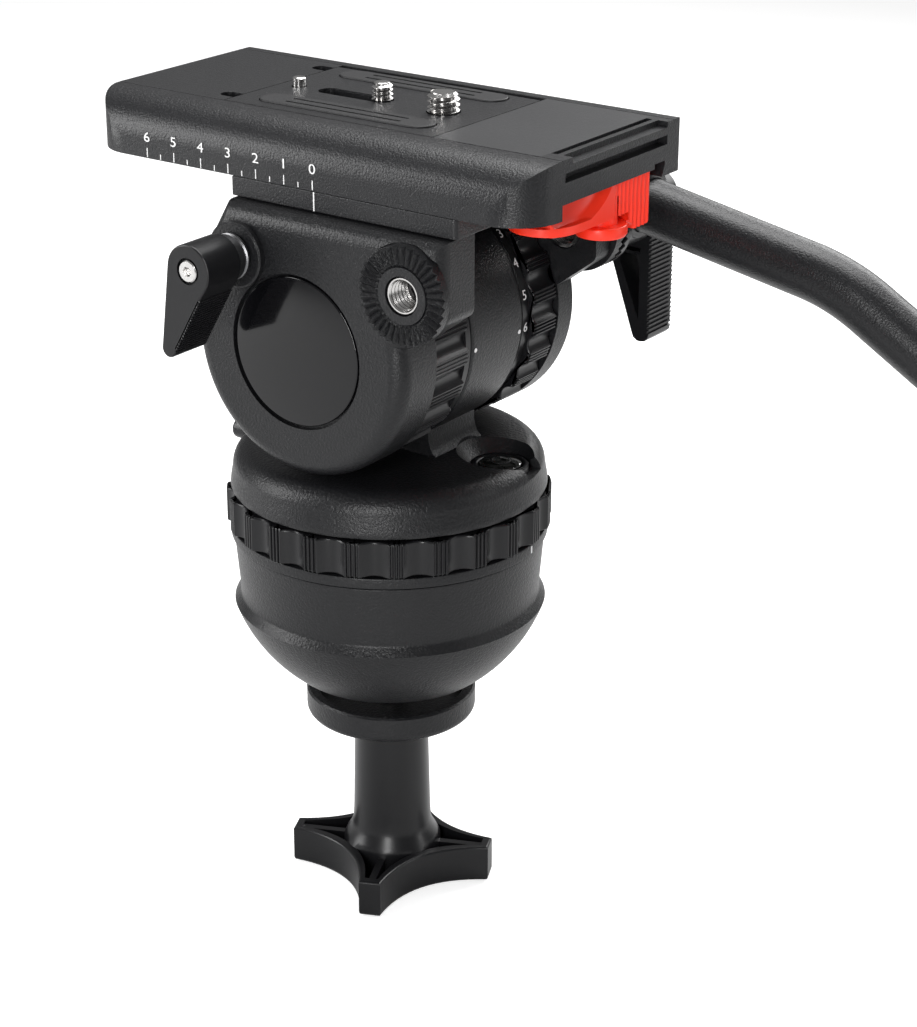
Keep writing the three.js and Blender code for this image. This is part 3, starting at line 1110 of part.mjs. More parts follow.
// Tilt brake: lever, collared shaft and the screw that holds the lever on
function buildTiltBrake() {
  const shape = strapShape({ x: TILT_BRAKE_Z, y: TILT_BRAKE_X, radius: TILT_BRAKE_HEAD_RADIUS },
    { x: TILT_BRAKE_TIP_Z, y: TILT_BRAKE_TIP_X, radius: TILT_BRAKE_TIP_RADIUS });
  const recessFloor = TILT_BRAKE_FACE + TILT_BRAKE_RECESS_DEPTH;
  const at = ['y', TILT_BRAKE_X, 0, TILT_BRAKE_Z];
  const lever = cut(prism(shape, 'y', TILT_BRAKE_FACE, TILT_BRAKE_BACK, TILT_BRAKE_EDGE),
    rod(TILT_BRAKE_RECESS_RADIUS, TILT_BRAKE_FACE - OVERRUN, recessFloor, SMALL_SIDES, ...at),
    rod(BRAKE_SCREW_RADIUS + SEAT_GAP, recessFloor - OVERRUN, TILT_BRAKE_BACK + OVERRUN,
      SMALL_SIDES, ...at));
  addPiece(tiltUnit, 'tilt_brake_lever', lever, MOULDED);
  const collar = TILT_BRAKE_BACK + SEAT_GAP;
  const screwTop = recessFloor - SEAT_GAP;
  const screwEnd = screwTop + BRAKE_SCREW_LENGTH + BRAKE_SCREW_HEAD;
  const shaft = turned([
    [0, collar], [TILT_BRAKE_COLLAR_RADIUS, collar], [TILT_BRAKE_COLLAR_RADIUS, TILT_BRAKE_COLLAR_BACK],
    [TILT_BRAKE_SHAFT_RADIUS, TILT_BRAKE_COLLAR_BACK], [TILT_BRAKE_SHAFT_RADIUS, TILT_BRAKE_SHAFT_END],
    [0, TILT_BRAKE_SHAFT_END],
  ], SMALL_SIDES, ...at);
  addPiece(tiltUnit, 'tilt_brake_shaft', cut(shaft, rod(BRAKE_SCREW_RADIUS + SEAT_GAP,
    collar - OVERRUN, screwEnd + SEAT_GAP, SMALL_SIDES, ...at)), DARK_STEEL);
  const head = screwTop - BRAKE_SCREW_HEAD;
  const screw = turned([
    [0, head], [BRAKE_SCREW_HEAD_RADIUS, head], [BRAKE_SCREW_HEAD_RADIUS, screwTop],
    [BRAKE_SCREW_RADIUS, screwTop], [BRAKE_SCREW_RADIUS, screwEnd], [0, screwEnd],
  ], SMALL_SIDES, ...at);
  addPiece(tiltUnit, 'tilt_brake_screw', cut(screw, rod(BRAKE_SCREW_SOCKET, head - OVERRUN,
    head + BRAKE_SCREW_HEAD, 6, ...at)), STEEL);
}

// Platform strip with the dovetail rail that the carriage runs on
function buildPlatform() {
  const top = PLATFORM_TOP + CARRIAGE_WEB_BOTTOM;
  const railNear = LEG_INNER + RAIL_CLEARANCE;
  const railFar = WALL_INNER - RAIL_CLEARANCE;
  const section = outline([
    [-PLATFORM_HALF, PLATFORM_BOTTOM], [PLATFORM_HALF, PLATFORM_BOTTOM],
    [PLATFORM_HALF, PLATFORM_TOP], [railFar - RAIL_DOVETAIL, PLATFORM_TOP], [railFar, top],
    [railNear, top], [railNear + RAIL_DOVETAIL, PLATFORM_TOP], [-PLATFORM_HALF, PLATFORM_TOP],
  ]);
  const plan = outline([
    [PLATFORM_FRONT, -PLATFORM_HALF], [PLATFORM_REAR, -PLATFORM_HALF, PLATFORM_BEVEL],
    [PLATFORM_REAR, PLATFORM_HALF, PLATFORM_BEVEL], [PLATFORM_FRONT, PLATFORM_HALF],
  ]);
  return prism(section, 'x', PLATFORM_FRONT, PLATFORM_REAR)
    .intersect(prism(plan, 'z', PLATFORM_BOTTOM - OVERRUN, top + OVERRUN, 0, EDGE_STEPS));
}

function buildSlideLock() {
  const near = FAR_CHEEK_FACE + RUN_GAP;
  const shape = strapShape({ x: SLIDE_LOCK_Z, y: SLIDE_LOCK_X, radius: SLIDE_LOCK_HUB_RADIUS },
    { x: SLIDE_LOCK_Z - SLIDE_LOCK_DROP, y: SLIDE_LOCK_X - SLIDE_LOCK_REACH,
      radius: SLIDE_LOCK_TIP_RADIUS });
  return join(prism(shape, 'y', near, near + SLIDE_LOCK_THICKNESS, SLIDE_LOCK_EDGE),
    rod(SLIDE_LOCK_SHAFT_RADIUS, FAR_CHEEK_INNER + SEAT_GAP, near + SLIDE_LOCK_EDGE + OVERRUN,
      SMALL_SIDES, 'y', SLIDE_LOCK_X, 0, SLIDE_LOCK_Z));
}

function buildTiltUnit() {
  addPiece(tiltUnit, 'near_cheek', buildNearCheek(), CAST);
  addPiece(tiltUnit, 'far_cheek', buildFarCheek(), CAST);
  addPiece(tiltUnit, 'near_badge', buildBadge(NEAR_CHEEK_FACE + BADGE_RECESS_DEPTH - SEAT_GAP, -1), GLOSS);
  addPiece(tiltUnit, 'far_badge', buildBadge(FAR_CHEEK_FACE - FAR_BADGE_RECESS_DEPTH + SEAT_GAP, 1), GLOSS);
  buildRosettes();
  buildTiltAxle();
  buildTiltBrake();
  addPiece(tiltUnit, 'tilt_platform', buildPlatform(), ANODISED);
  addPiece(tiltUnit, 'slide_lock_lever', buildSlideLock(), MOULDED);
}

// Carriage: one extruded section, cut for the rail, the camera plate, the jaw and the release lever
const POCKET_FLOOR = CARRIAGE_DECK - PLATE_THICKNESS - SEAT_GAP;
const POCKET_FRONT = PLATE_FRONT - RUN_GAP;
const POCKET_REAR = PLATE_REAR + RUN_GAP;
const POCKET_NEAR = PLATE_NEAR - RUN_GAP;
const JAW_NEAR = PLATE_FAR + RUN_GAP;
const JAW_FAR = JAW_NEAR + JAW_WIDTH;

function carriageSection() {
  const shape = new THREE.Shape();
  const near = -CARRIAGE_HALF;
  const farSlant = RAIL_DOVETAIL * (1 - CARRIAGE_FAR_BOTTOM / CARRIAGE_WEB_BOTTOM);
  shape.moveTo(near, 0);
  shape.lineTo(near, CARRIAGE_SHOULDER_START);
  for (let i = 1; i <= ARC_STEPS; i += 1) {
    const angle = Math.PI / 2 * i / ARC_STEPS;
    shape.lineTo(near + CARRIAGE_SHOULDER * (1 - Math.cos(angle)),
      CARRIAGE_SHOULDER_START + (CARRIAGE_DECK - CARRIAGE_SHOULDER_START) * Math.sin(angle));
  }
  shape.lineTo(CARRIAGE_HALF - CARRIAGE_FAR_BEVEL, CARRIAGE_DECK);
  shape.lineTo(CARRIAGE_HALF, CARRIAGE_DECK - CARRIAGE_FAR_BEVEL);
  shape.lineTo(CARRIAGE_HALF, CARRIAGE_FAR_BOTTOM);
  shape.lineTo(WALL_INNER - farSlant, CARRIAGE_FAR_BOTTOM);
  shape.lineTo(WALL_INNER, CARRIAGE_WEB_BOTTOM);
  shape.lineTo(WALL_INNER, GIB_GROOVE_TOP);
  shape.lineTo(WALL_INNER - GIB_GROOVE_WIDTH, GIB_GROOVE_TOP);
  shape.lineTo(WALL_INNER - GIB_GROOVE_WIDTH, CARRIAGE_WEB_BOTTOM);
  shape.lineTo(LEG_INNER, CARRIAGE_WEB_BOTTOM);
  shape.lineTo(LEG_INNER + RAIL_DOVETAIL, 0);
  shape.closePath();
  return shape;
}

function buildCarriage() {
  const body = prism(carriageSection(), 'x', CARRIAGE_FRONT, CARRIAGE_REAR);
  const plan = prism(outline([
    [CARRIAGE_FRONT, -CARRIAGE_HALF, CARRIAGE_CORNER], [CARRIAGE_REAR, -CARRIAGE_HALF, CARRIAGE_CORNER],
    [CARRIAGE_REAR, CARRIAGE_HALF, CARRIAGE_FAR_CORNER],
    [CARRIAGE_FRONT, CARRIAGE_HALF, CARRIAGE_FAR_CORNER],
  ]), 'z', -OVERRUN, CARRIAGE_DECK + OVERRUN);
  const pocket = block(POCKET_FRONT, POCKET_REAR, POCKET_NEAR, JAW_FAR, POCKET_FLOOR,
    CARRIAGE_DECK + OVERRUN);
  const jawRoom = block(POCKET_FRONT, POCKET_REAR, JAW_NEAR, JAW_FAR + JAW_TRAVEL + RUN_GAP,
    POCKET_FLOOR, POCKET_FLOOR + SEAT_GAP + JAW_HEIGHT + RUN_GAP);
  const reliefs = [POCKET_NEAR + RELIEF_INSET, JAW_FAR - RELIEF_INSET].map((y) => prism(
    strapShape({ x: POCKET_FRONT - RELIEF_REACH, y, radius: RELIEF_RADIUS },
      { x: POCKET_FRONT + RELIEF_REACH, y, radius: RELIEF_RADIUS }),
    'z', POCKET_FLOOR, CARRIAGE_DECK + OVERRUN));
  const slit = block(END_SLIT_X, END_SLIT_X + END_SLIT_WIDTH, END_SLIT_NEAR, END_SLIT_FAR,
    CARRIAGE_DECK - END_SLIT_DEPTH, CARRIAGE_DECK + OVERRUN);
  const lip = block(END_LIP_REAR, CARRIAGE_REAR + OVERRUN, END_SLIT_NEAR, END_SLIT_FAR,
    CARRIAGE_DECK - END_LIP_DROP, CARRIAGE_DECK + OVERRUN);
  const groove = block(CARRIAGE_REAR - END_GROOVE_DEPTH, CARRIAGE_REAR + OVERRUN, END_GROOVE_NEAR,
    END_SLIT_FAR, END_GROOVE_HEIGHT - END_GROOVE_WIDTH / 2, END_GROOVE_HEIGHT + END_GROOVE_WIDTH / 2);
  const pinSeat = rod(PIVOT_PIN_RADIUS + SEAT_GAP, CARRIAGE_WEB_BOTTOM - OVERRUN,
    CARRIAGE_WEB_BOTTOM + PIVOT_PIN_SEAT, SMALL_SIDES, 'z', RELEASE_PIVOT_X, RELEASE_PIVOT_Y);
  const leverRoom = block(RELEASE_FRONT - 2 * RELEASE_CORNER, CARRIAGE_REAR + OVERRUN,
    LEG_INNER - RELEASE_ROOM, RELEASE_NEAR + RELEASE_CORNER + OVERRUN, -OVERRUN, CARRIAGE_WEB_BOTTOM);
  return cut(body.intersect(plan), pocket, jawRoom, ...reliefs, slit, lip, groove, pinSeat, leverRoom);
}

function buildCameraPlate() {
  const floor = POCKET_FLOOR + SEAT_GAP;
  const top = CARRIAGE_DECK;
  const body = prism(outline([
    [PLATE_FRONT, PLATE_NEAR], [PLATE_REAR, PLATE_NEAR], [PLATE_REAR, PLATE_FAR], [PLATE_FRONT, PLATE_FAR],
  ]), 'z', floor, top, PLATE_EDGE);
  const headRoom = floor + SEAT_GAP + QUARTER_HEAD_HEIGHT + WASHER_THICKNESS + 2 * SEAT_GAP;
  const slotShape = (radius) => strapShape({ x: SLOT_FRONT, y: QUARTER_Y, radius },
    { x: QUARTER_X, y: QUARTER_Y, radius });
  const seats = [[NEAR_STRIP_Y, NEAR_STRIP_REAR], [FAR_STRIP_Y, FAR_STRIP_REAR]].map(([y, rear]) => prism(
    stripShape(y, rear, SEAT_GAP), 'z', top - STRIP_SEAT_DEPTH - SEAT_GAP, top + OVERRUN));
  return cut(body, ...seats,
    prism(slotShape(QUARTER_RADIUS + RUN_GAP), 'z', floor - OVERRUN, top + OVERRUN),
    prism(slotShape(QUARTER_HEAD_RADIUS + 2 * RUN_GAP), 'z', floor - OVERRUN, headRoom),
    rod(PIN_RADIUS + RUN_GAP, floor - OVERRUN, top + OVERRUN, SMALL_SIDES, 'z', PIN_X, PIN_Y),
    rod(THREE_EIGHTHS_RADIUS + RUN_GAP, floor - OVERRUN, top + OVERRUN, SMALL_SIDES, 'z',
      THREE_EIGHTHS_X, THREE_EIGHTHS_Y),
    rod(THREE_EIGHTHS_HEAD_RADIUS + 2 * RUN_GAP, floor - OVERRUN, headRoom, SMALL_SIDES, 'z',
      THREE_EIGHTHS_X, THREE_EIGHTHS_Y));
}

function stripShape(y, rear, growth) {
  const radius = STRIP_WIDTH / 2;
  return strapShape({ x: STRIP_FRONT + radius, y, radius: radius + growth },
    { x: rear - radius, y, radius: radius + growth });
}

function buildStrip(y, rear) {
  const bottom = CARRIAGE_DECK - STRIP_SEAT_DEPTH;
  const top = bottom + STRIP_HEIGHT;
  const grooves = [-STRIP_GROOVE_OFFSET, STRIP_GROOVE_OFFSET].map((offset) => block(
    STRIP_FRONT + STRIP_WIDTH, rear - STRIP_WIDTH, y + offset - STRIP_GROOVE_WIDTH / 2,
    y + offset + STRIP_GROOVE_WIDTH / 2, top - STRIP_GROOVE_DEPTH, top + OVERRUN));
  return cut(prism(stripShape(y, rear, 0), 'z', bottom, top), ...grooves);
}

function cameraScrew(x, y, neck, radius, height, headRadius) {
  const bottom = POCKET_FLOOR + 2 * SEAT_GAP;
  const shoulder = bottom + QUARTER_HEAD_HEIGHT;
  const thread = CARRIAGE_DECK + SEAT_GAP;
  const top = CARRIAGE_DECK + height;
  return turned([
    [0, bottom], [headRadius, bottom], [headRadius, shoulder], [neck, shoulder], [neck, thread],
    [radius, thread], [radius, top - SCREW_POINT], [radius - SCREW_POINT, top], [0, top],
  ], SMALL_SIDES, 'z', x, y);
}

// Release lever: a fluted grip, a scooped body and a thin blade that reaches under the near leg
function buildReleaseLever() {
  const top = CARRIAGE_WEB_BOTTOM - RUN_GAP;
  const bodyBottom = top - RELEASE_BODY_HEIGHT;
  const gripBottom = top - RELEASE_GRIP_HEIGHT;
  const fluteFloor = RELEASE_REAR - RELEASE_FLUTE_DEPTH;
  const body = prism(outline([
    [RELEASE_FRONT, RELEASE_NEAR, RELEASE_CORNER], [RELEASE_REAR, RELEASE_NEAR],
    [RELEASE_REAR, RELEASE_GRIP_NEAR], [fluteFloor, RELEASE_GRIP_NEAR],
    [fluteFloor, RELEASE_FAR], [RELEASE_FRONT, RELEASE_FAR, RELEASE_CORNER],
  ]), 'z', bodyBottom, top);
  const scoop = turned([
    [0, bodyBottom - OVERRUN], [RELEASE_SCOOP_RADIUS, bodyBottom - OVERRUN],
    [RELEASE_SCOOP_RADIUS, top - RELEASE_SCOOP_DEPTH / 2],
    [RELEASE_SCOOP_RADIUS - RELEASE_SCOOP_DEPTH, top + OVERRUN], [0, top + OVERRUN],
  ], LARGE_SIDES, 'z', RELEASE_REAR + RELEASE_SCOOP_RADIUS - RELEASE_SCOOP_DEPTH, RELEASE_SCOOP_Y);
  const scoopRoom = block(RELEASE_FRONT, RELEASE_REAR + OVERRUN, RELEASE_NEAR - OVERRUN,
    RELEASE_SCOOP_FAR, bodyBottom + RELEASE_BLADE_THICKNESS, top + OVERRUN);
  const flutes = new THREE.Shape();
  const flutePitch = (RELEASE_FAR - RELEASE_GRIP_NEAR) / RELEASE_FLUTES;
  flutes.moveTo(RELEASE_FRONT + RELEASE_CORNER, RELEASE_GRIP_NEAR);
  for (let i = 0; i < RELEASE_FLUTES; i += 1) {
    const y = RELEASE_GRIP_NEAR + i * flutePitch;
    flutes.lineTo(RELEASE_REAR, y + flutePitch / 8);
    flutes.lineTo(RELEASE_REAR, y + flutePitch / 2);
    flutes.lineTo(fluteFloor, y + flutePitch * 3 / 4);
  }
  flutes.lineTo(fluteFloor, RELEASE_FAR);
  flutes.lineTo(RELEASE_FRONT + RELEASE_CORNER, RELEASE_FAR);
  flutes.closePath();
  const grip = prism(flutes, 'z', gripBottom, top);
  const blade = new THREE.Shape();
  blade.moveTo(RELEASE_BLADE_X, RELEASE_NEAR + RELEASE_CORNER / 2);
  blade.quadraticCurveTo((RELEASE_BLADE_X + RELEASE_BLADE_TURN_X) / 2, RELEASE_BLADE_NEAR,
    RELEASE_BLADE_TURN_X, RELEASE_BLADE_NEAR);
  blade.quadraticCurveTo(RELEASE_REAR, RELEASE_BLADE_NEAR + RELEASE_BLADE_ROUND, RELEASE_REAR,
    RELEASE_BLADE_FAR);
  blade.lineTo(RELEASE_FRONT, RELEASE_BLADE_FAR);
  blade.closePath();
  const bladeSolid = prism(blade, 'z', bodyBottom, bodyBottom + RELEASE_BLADE_THICKNESS);
  const arch = rod(RELEASE_ARCH_RADIUS, RELEASE_FRONT - OVERRUN, RELEASE_REAR + OVERRUN, LARGE_SIDES, 'x',
    0, RELEASE_PIVOT_Y, bodyBottom - RELEASE_ARCH_RISE - RELEASE_ARCH_RADIUS);
  const buttonRoom = rod(BUTTON_RADIUS + 2 * RUN_GAP, gripBottom - OVERRUN, bodyBottom, MEDIUM_SIDES,
    'z', RELEASE_PIVOT_X, RELEASE_PIVOT_Y);
  const stem = rod(BUTTON_STEM_RADIUS + RUN_GAP, bodyBottom - OVERRUN,
    bodyBottom + BUTTON_STEM + BUTTON_TRAVEL, SMALL_SIDES, 'z', RELEASE_PIVOT_X, RELEASE_PIVOT_Y);
  const pin = rod(PIVOT_PIN_RADIUS + RUN_GAP, bodyBottom, top + OVERRUN, SMALL_SIDES, 'z',
    RELEASE_PIVOT_X, RELEASE_PIVOT_Y);
  const whole = join(cut(body, scoop.intersect(scoopRoom)), grip, bladeSolid);
  return cut(whole, arch, buttonRoom, stem, pin);
}

function buildButton() {
  const bodyBottom = CARRIAGE_WEB_BOTTOM - RUN_GAP - RELEASE_BODY_HEIGHT;
  const top = bodyBottom - BUTTON_TRAVEL - RUN_GAP;
  const bottom = top - BUTTON_HEIGHT;
  return turned([
    [0, bottom], [BUTTON_RADIUS - BUTTON_EDGE, bottom], [BUTTON_RADIUS, bottom + BUTTON_EDGE],
    [BUTTON_RADIUS, top - BUTTON_EDGE], [BUTTON_RADIUS - BUTTON_EDGE, top], [BUTTON_STEM_RADIUS, top],
    [BUTTON_STEM_RADIUS, bodyBottom + BUTTON_STEM - RUN_GAP], [0, bodyBottom + BUTTON_STEM - RUN_GAP],
  ], MEDIUM_SIDES, 'z', RELEASE_PIVOT_X, RELEASE_PIVOT_Y);
}

function buildPivotPin() {
  const bodyBottom = CARRIAGE_WEB_BOTTOM - RUN_GAP - RELEASE_BODY_HEIGHT;
  const bottom = bodyBottom + BUTTON_STEM + BUTTON_TRAVEL + RUN_GAP;
  return rod(PIVOT_PIN_RADIUS, bottom, CARRIAGE_WEB_BOTTOM + PIVOT_PIN_SEAT - SEAT_GAP, SMALL_SIDES,
    'z', RELEASE_PIVOT_X, RELEASE_PIVOT_Y);
}

function buildCarriageUnit() {
  const plateTop = CARRIAGE_DECK;
  const plateBottom = POCKET_FLOOR + SEAT_GAP;
  addPiece(carriageUnit, 'carriage', buildCarriage(), ANODISED);
  addPiece(carriageUnit, 'plate_jaw', block(POCKET_FRONT + RUN_GAP, POCKET_REAR - RUN_GAP, JAW_NEAR,
    JAW_FAR, plateBottom, plateBottom + JAW_HEIGHT), ANODISED);
  addPiece(carriageUnit, 'plate_release_lever', buildReleaseLever(), RED);
  addPiece(carriageUnit, 'release_button', buildButton(), RED);
  addPiece(carriageUnit, 'release_pivot_pin', buildPivotPin(), STEEL);
  addPiece(carriageUnit, 'camera_plate', buildCameraPlate(), ANODISED);
  addPiece(carriageUnit, 'near_grip_strip', buildStrip(NEAR_STRIP_Y, NEAR_STRIP_REAR), RUBBER);
  addPiece(carriageUnit, 'far_grip_strip', buildStrip(FAR_STRIP_Y, FAR_STRIP_REAR), RUBBER);
  addPiece(carriageUnit, 'video_pin', turned([
    [0, plateTop - PIN_HIDDEN], [PIN_RADIUS, plateTop - PIN_HIDDEN],
    [PIN_RADIUS, plateTop + PIN_HEIGHT - PIN_EDGE], [PIN_RADIUS - PIN_EDGE, plateTop + PIN_HEIGHT],
    [0, plateTop + PIN_HEIGHT],
  ], SMALL_SIDES, 'z', PIN_X, PIN_Y), STEEL);
  addPiece(carriageUnit, 'quarter_screw',
    cameraScrew(QUARTER_X, QUARTER_Y, QUARTER_NECK_RADIUS, QUARTER_RADIUS, QUARTER_HEIGHT,
      QUARTER_HEAD_RADIUS), STEEL);
  const washerBottom = plateBottom + SEAT_GAP + QUARTER_HEAD_HEIGHT + SEAT_GAP;
  addPiece(carriageUnit, 'quarter_screw_washer', ring(QUARTER_NECK_RADIUS + RUN_GAP, WASHER_RADIUS,
    washerBottom, washerBottom + WASHER_THICKNESS, SMALL_SIDES, 'z', QUARTER_X, QUARTER_Y), MOULDED);
  addPiece(carriageUnit, 'three_eighths_screw', cameraScrew(THREE_EIGHTHS_X, THREE_EIGHTHS_Y,
    THREE_EIGHTHS_RADIUS - SCREW_POINT, THREE_EIGHTHS_RADIUS, THREE_EIGHTHS_HEIGHT,
    THREE_EIGHTHS_HEAD_RADIUS), STEEL);
}

// Pan bar: straight out of its clamp, then one bend, then straight to the grip
const BAR_SLOPE = THREE.MathUtils.degToRad(BAR_SLOPE_DEGREES);
const BAR_BEND = THREE.MathUtils.degToRad(BAR_BEND_DEGREES);

function barHeight(x) {
  return ROSETTE_Z + BAR_OFFSET - (x - ROSETTE_X) * Math.tan(BAR_SLOPE);
}

function along(angle, length) {
  return new THREE.Vector3(Math.cos(angle), 0, -Math.sin(angle)).multiplyScalar(length);
}

const BAR_START = new THREE.Vector3(BAR_START_X, BAR_Y, barHeight(BAR_START_X));
const BEND_START = new THREE.Vector3(BAR_BEND_X, BAR_Y, barHeight(BAR_BEND_X));
const BEND_CENTRE = BEND_START.clone().add(along(BAR_SLOPE + Math.PI / 2, BAR_BEND_RADIUS));
const BEND_END = BEND_CENTRE.clone().add(along(BAR_SLOPE + BAR_BEND - Math.PI / 2, BAR_BEND_RADIUS));
const BAR_FALL = BAR_SLOPE + BAR_BEND;
const BAR_END = BEND_END.clone().add(along(BAR_FALL, BAR_RUN));

class BarPath extends THREE.Curve {
  getPoint(t, target = new THREE.Vector3()) {
    const steps = BAR_BEND_STEPS + 2;
    const place = t * steps;
    if (place <= 1) return target.lerpVectors(BAR_START, BEND_START, place);
    if (place >= steps - 1) return target.lerpVectors(BEND_END, BAR_END, place - steps + 1);
    const turn = BAR_SLOPE - Math.PI / 2 + BAR_BEND * (place - 1) / BAR_BEND_STEPS;
    return target.copy(BEND_CENTRE).add(along(turn, BAR_BEND_RADIUS));
  }

  getPointAt(u, target) {
    return this.getPoint(u, target);
  }

  getTangentAt(u, target = new THREE.Vector3()) {
    const steps = BAR_BEND_STEPS + 2;
    const share = THREE.MathUtils.clamp((u * steps - 1) / BAR_BEND_STEPS, 0, 1);
    return target.copy(along(BAR_SLOPE + BAR_BEND * share, 1));
  }
}

function buildBar() {
  const section = new THREE.Shape();
  section.absarc(0, 0, BAR_RADIUS, 0, 2 * Math.PI);
  return solid(new THREE.ExtrudeGeometry(section, {
    extrudePath: new BarPath(), steps: BAR_BEND_STEPS + 2, curveSegments: BAR_SIDES / 2, bevelEnabled: false,
  }));
}

// A turned piece whose axis runs from a point down the bar
function onBar(profile, start, angle, sides) {
  const points = profile.map(([radius, place]) => new THREE.Vector2(radius, place));
  if (points[0].x > 0) points.push(points[0].clone());
  const lathe = new THREE.LatheGeometry(points, sides).rotateZ(-Math.PI / 2).rotateY(angle);
  return solid(lathe.translate(start.x, start.y, start.z));
}

function buildGrip() {
  const inner = BAR_RADIUS + SEAT_GAP;
  return onBar([
    [inner, 0], [GRIP_RADIUS - GRIP_WAIST, 0], [GRIP_RADIUS, GRIP_WAIST * 2],
    [GRIP_RADIUS - GRIP_WAIST, GRIP_LENGTH / 4], [GRIP_RADIUS - GRIP_WAIST, GRIP_LENGTH * 3 / 4],
    [GRIP_RADIUS, GRIP_LENGTH - GRIP_WAIST * 2], [GRIP_RADIUS - GRIP_WAIST, GRIP_LENGTH],
    [inner, GRIP_LENGTH],
  ], BAR_END.clone().add(along(BAR_FALL, -GRIP_LENGTH)), BAR_FALL, BAR_SIDES);
}

function buildCap() {
  return onBar([
    [0, SEAT_GAP], [CAP_RADIUS, SEAT_GAP], [CAP_RADIUS, CAP_LENGTH - CAP_CROWN],
    [CAP_RADIUS - CAP_CROWN, CAP_LENGTH], [0, CAP_LENGTH],
  ], BAR_END, BAR_FALL, BAR_SIDES);
}

// Clamp: a round body on the rosette's axis with a socket that takes the bar above the clamp screw
function buildClamp() {
  const crest = FAR_ROSETTE_CREST + RUN_GAP;
  const teeth = rosette(CLAMP_SCREW_RADIUS + RUN_GAP, CLAMP_NEAR + SEAT_GAP, crest);
  const at = ['y', ROSETTE_X, 0, ROSETTE_Z];
  const body = rod(CLAMP_RADIUS, CLAMP_NEAR, CLAMP_FAR, MEDIUM_SIDES, ...at);
  const socketStart = new THREE.Vector3(ROSETTE_X, BAR_Y, barHeight(ROSETTE_X));
  const socket = onBar([[0, 0], [CLAMP_SOCKET_RADIUS, 0], [CLAMP_SOCKET_RADIUS, CLAMP_SOCKET_LENGTH],
    [0, CLAMP_SOCKET_LENGTH]], socketStart, BAR_SLOPE, MEDIUM_SIDES);
  const bore = onBar([[0, -SEAT_GAP], [BAR_RADIUS + SEAT_GAP, -SEAT_GAP],
    [BAR_RADIUS + SEAT_GAP, 2 * CLAMP_SOCKET_LENGTH], [0, 2 * CLAMP_SOCKET_LENGTH]],
  BAR_START, BAR_SLOPE, MEDIUM_SIDES);
  const screwBore = rod(CLAMP_SCREW_RADIUS + RUN_GAP, CLAMP_NEAR - OVERRUN, CLAMP_FAR + OVERRUN,
    SMALL_SIDES, ...at);
  const reach = 2 * CLAMP_SOCKET_LENGTH;
  const slice = block(ROSETTE_X - reach, ROSETTE_X + reach, CLAMP_NEAR, CLAMP_FAR,
    ROSETTE_Z - reach, ROSETTE_Z + reach);
  return cut(join(body, socket.intersect(slice), teeth), bore, screwBore);
}

// Wing lever: a hub and a hanging wedge, hollow towards the head and ribbed behind
function buildWing() {
  const rear = ROSETTE_X + WING_REAR_OFFSET;
  const front = ROSETTE_X + WING_FRONT_OFFSET;
  const tipFront = ROSETTE_X + WING_TIP_FRONT_OFFSET;
  const bottom = ROSETTE_Z - WING_LENGTH;
  const hub = rod(WING_HUB_RADIUS, WING_NEAR, WING_FAR, MEDIUM_SIDES, 'y', ROSETTE_X, 0, ROSETTE_Z);
  const shape = new THREE.Shape();
  shape.moveTo(ROSETTE_Z, rear);
  const ribPitch = (WING_LENGTH - WING_RIB_TOP - WING_TIP_RADIUS) / WING_RIBS;
  for (let i = 0; i < WING_RIBS; i += 1) {
    const z = ROSETTE_Z - WING_RIB_TOP - i * ribPitch;
    shape.lineTo(z, rear);
    shape.lineTo(z - ribPitch / 2, rear - WING_RIB_DEPTH);
  }
  shape.lineTo(bottom + WING_TIP_RADIUS, rear);
  shape.quadraticCurveTo(bottom, rear, bottom, (rear + tipFront) / 2);
  shape.quadraticCurveTo(bottom, tipFront, bottom + WING_TIP_RADIUS, tipFront);
  shape.lineTo(ROSETTE_Z - WING_HUB_RADIUS / 2, front);
  shape.closePath();
  const hollow = outline([
    [ROSETTE_Z - WING_HOLLOW_TOP, front + WING_WALL * 3 / 2 + WING_WALL],
    [ROSETTE_Z - WING_HOLLOW_TOP, rear - WING_RIB_DEPTH - WING_REAR_WALL],
    [bottom + WING_HOLLOW_TOP / 2, rear - WING_RIB_DEPTH - WING_REAR_WALL],
  ]);
  const grip = cut(prism(shape, 'y', WING_GRIP_NEAR, WING_FAR),
    prism(hollow, 'y', WING_GRIP_NEAR - OVERRUN, WING_GRIP_NEAR + WING_HOLLOW_DEPTH));
  const seat = rod(CLAMP_SCREW_RADIUS + SEAT_GAP, WING_NEAR - OVERRUN, CLAMP_SCREW_END + SEAT_GAP,
    SMALL_SIDES, 'y', ROSETTE_X, 0, ROSETTE_Z);
  return cut(join(hub, grip), seat);
}

function buildBarUnit() {
  addPiece(tiltUnit, 'pan_bar_clamp', buildClamp(), MOULDED);
  addPiece(tiltUnit, 'pan_bar', buildBar(), ANODISED);
  addPiece(tiltUnit, 'pan_bar_grip', buildGrip(), RUBBER);
  addPiece(tiltUnit, 'pan_bar_cap', buildCap(), MOULDED);
  addPiece(tiltUnit, 'wing_lever', buildWing(), MOULDED);
  addPiece(tiltUnit, 'clamp_screw', rod(CLAMP_SCREW_RADIUS, CLAMP_SCREW_START, CLAMP_SCREW_END,
    SMALL_SIDES, 'y', ROSETTE_X, 0, ROSETTE_Z), STEEL);
}

buildBase();
buildPanUnit();
buildTiltUnit();
buildCarriageUnit();
buildBarUnit();

export default head;
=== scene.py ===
"""Fluid video head on its levelling ball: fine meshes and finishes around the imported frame.

Lengths are in millimetres, and Solid turns them into metres. The pan axis is Z, the origin is
the centre of the levelling ball, the head's front is -X and the pan bar's side is +Y.
"""
from __future__ import annotations

import json
import logging
import math
from dataclasses import dataclass
from enum import Enum
from typing import Callable, Iterable, Sequence

import bmesh
import bpy
from mathutils import Matrix, Vector

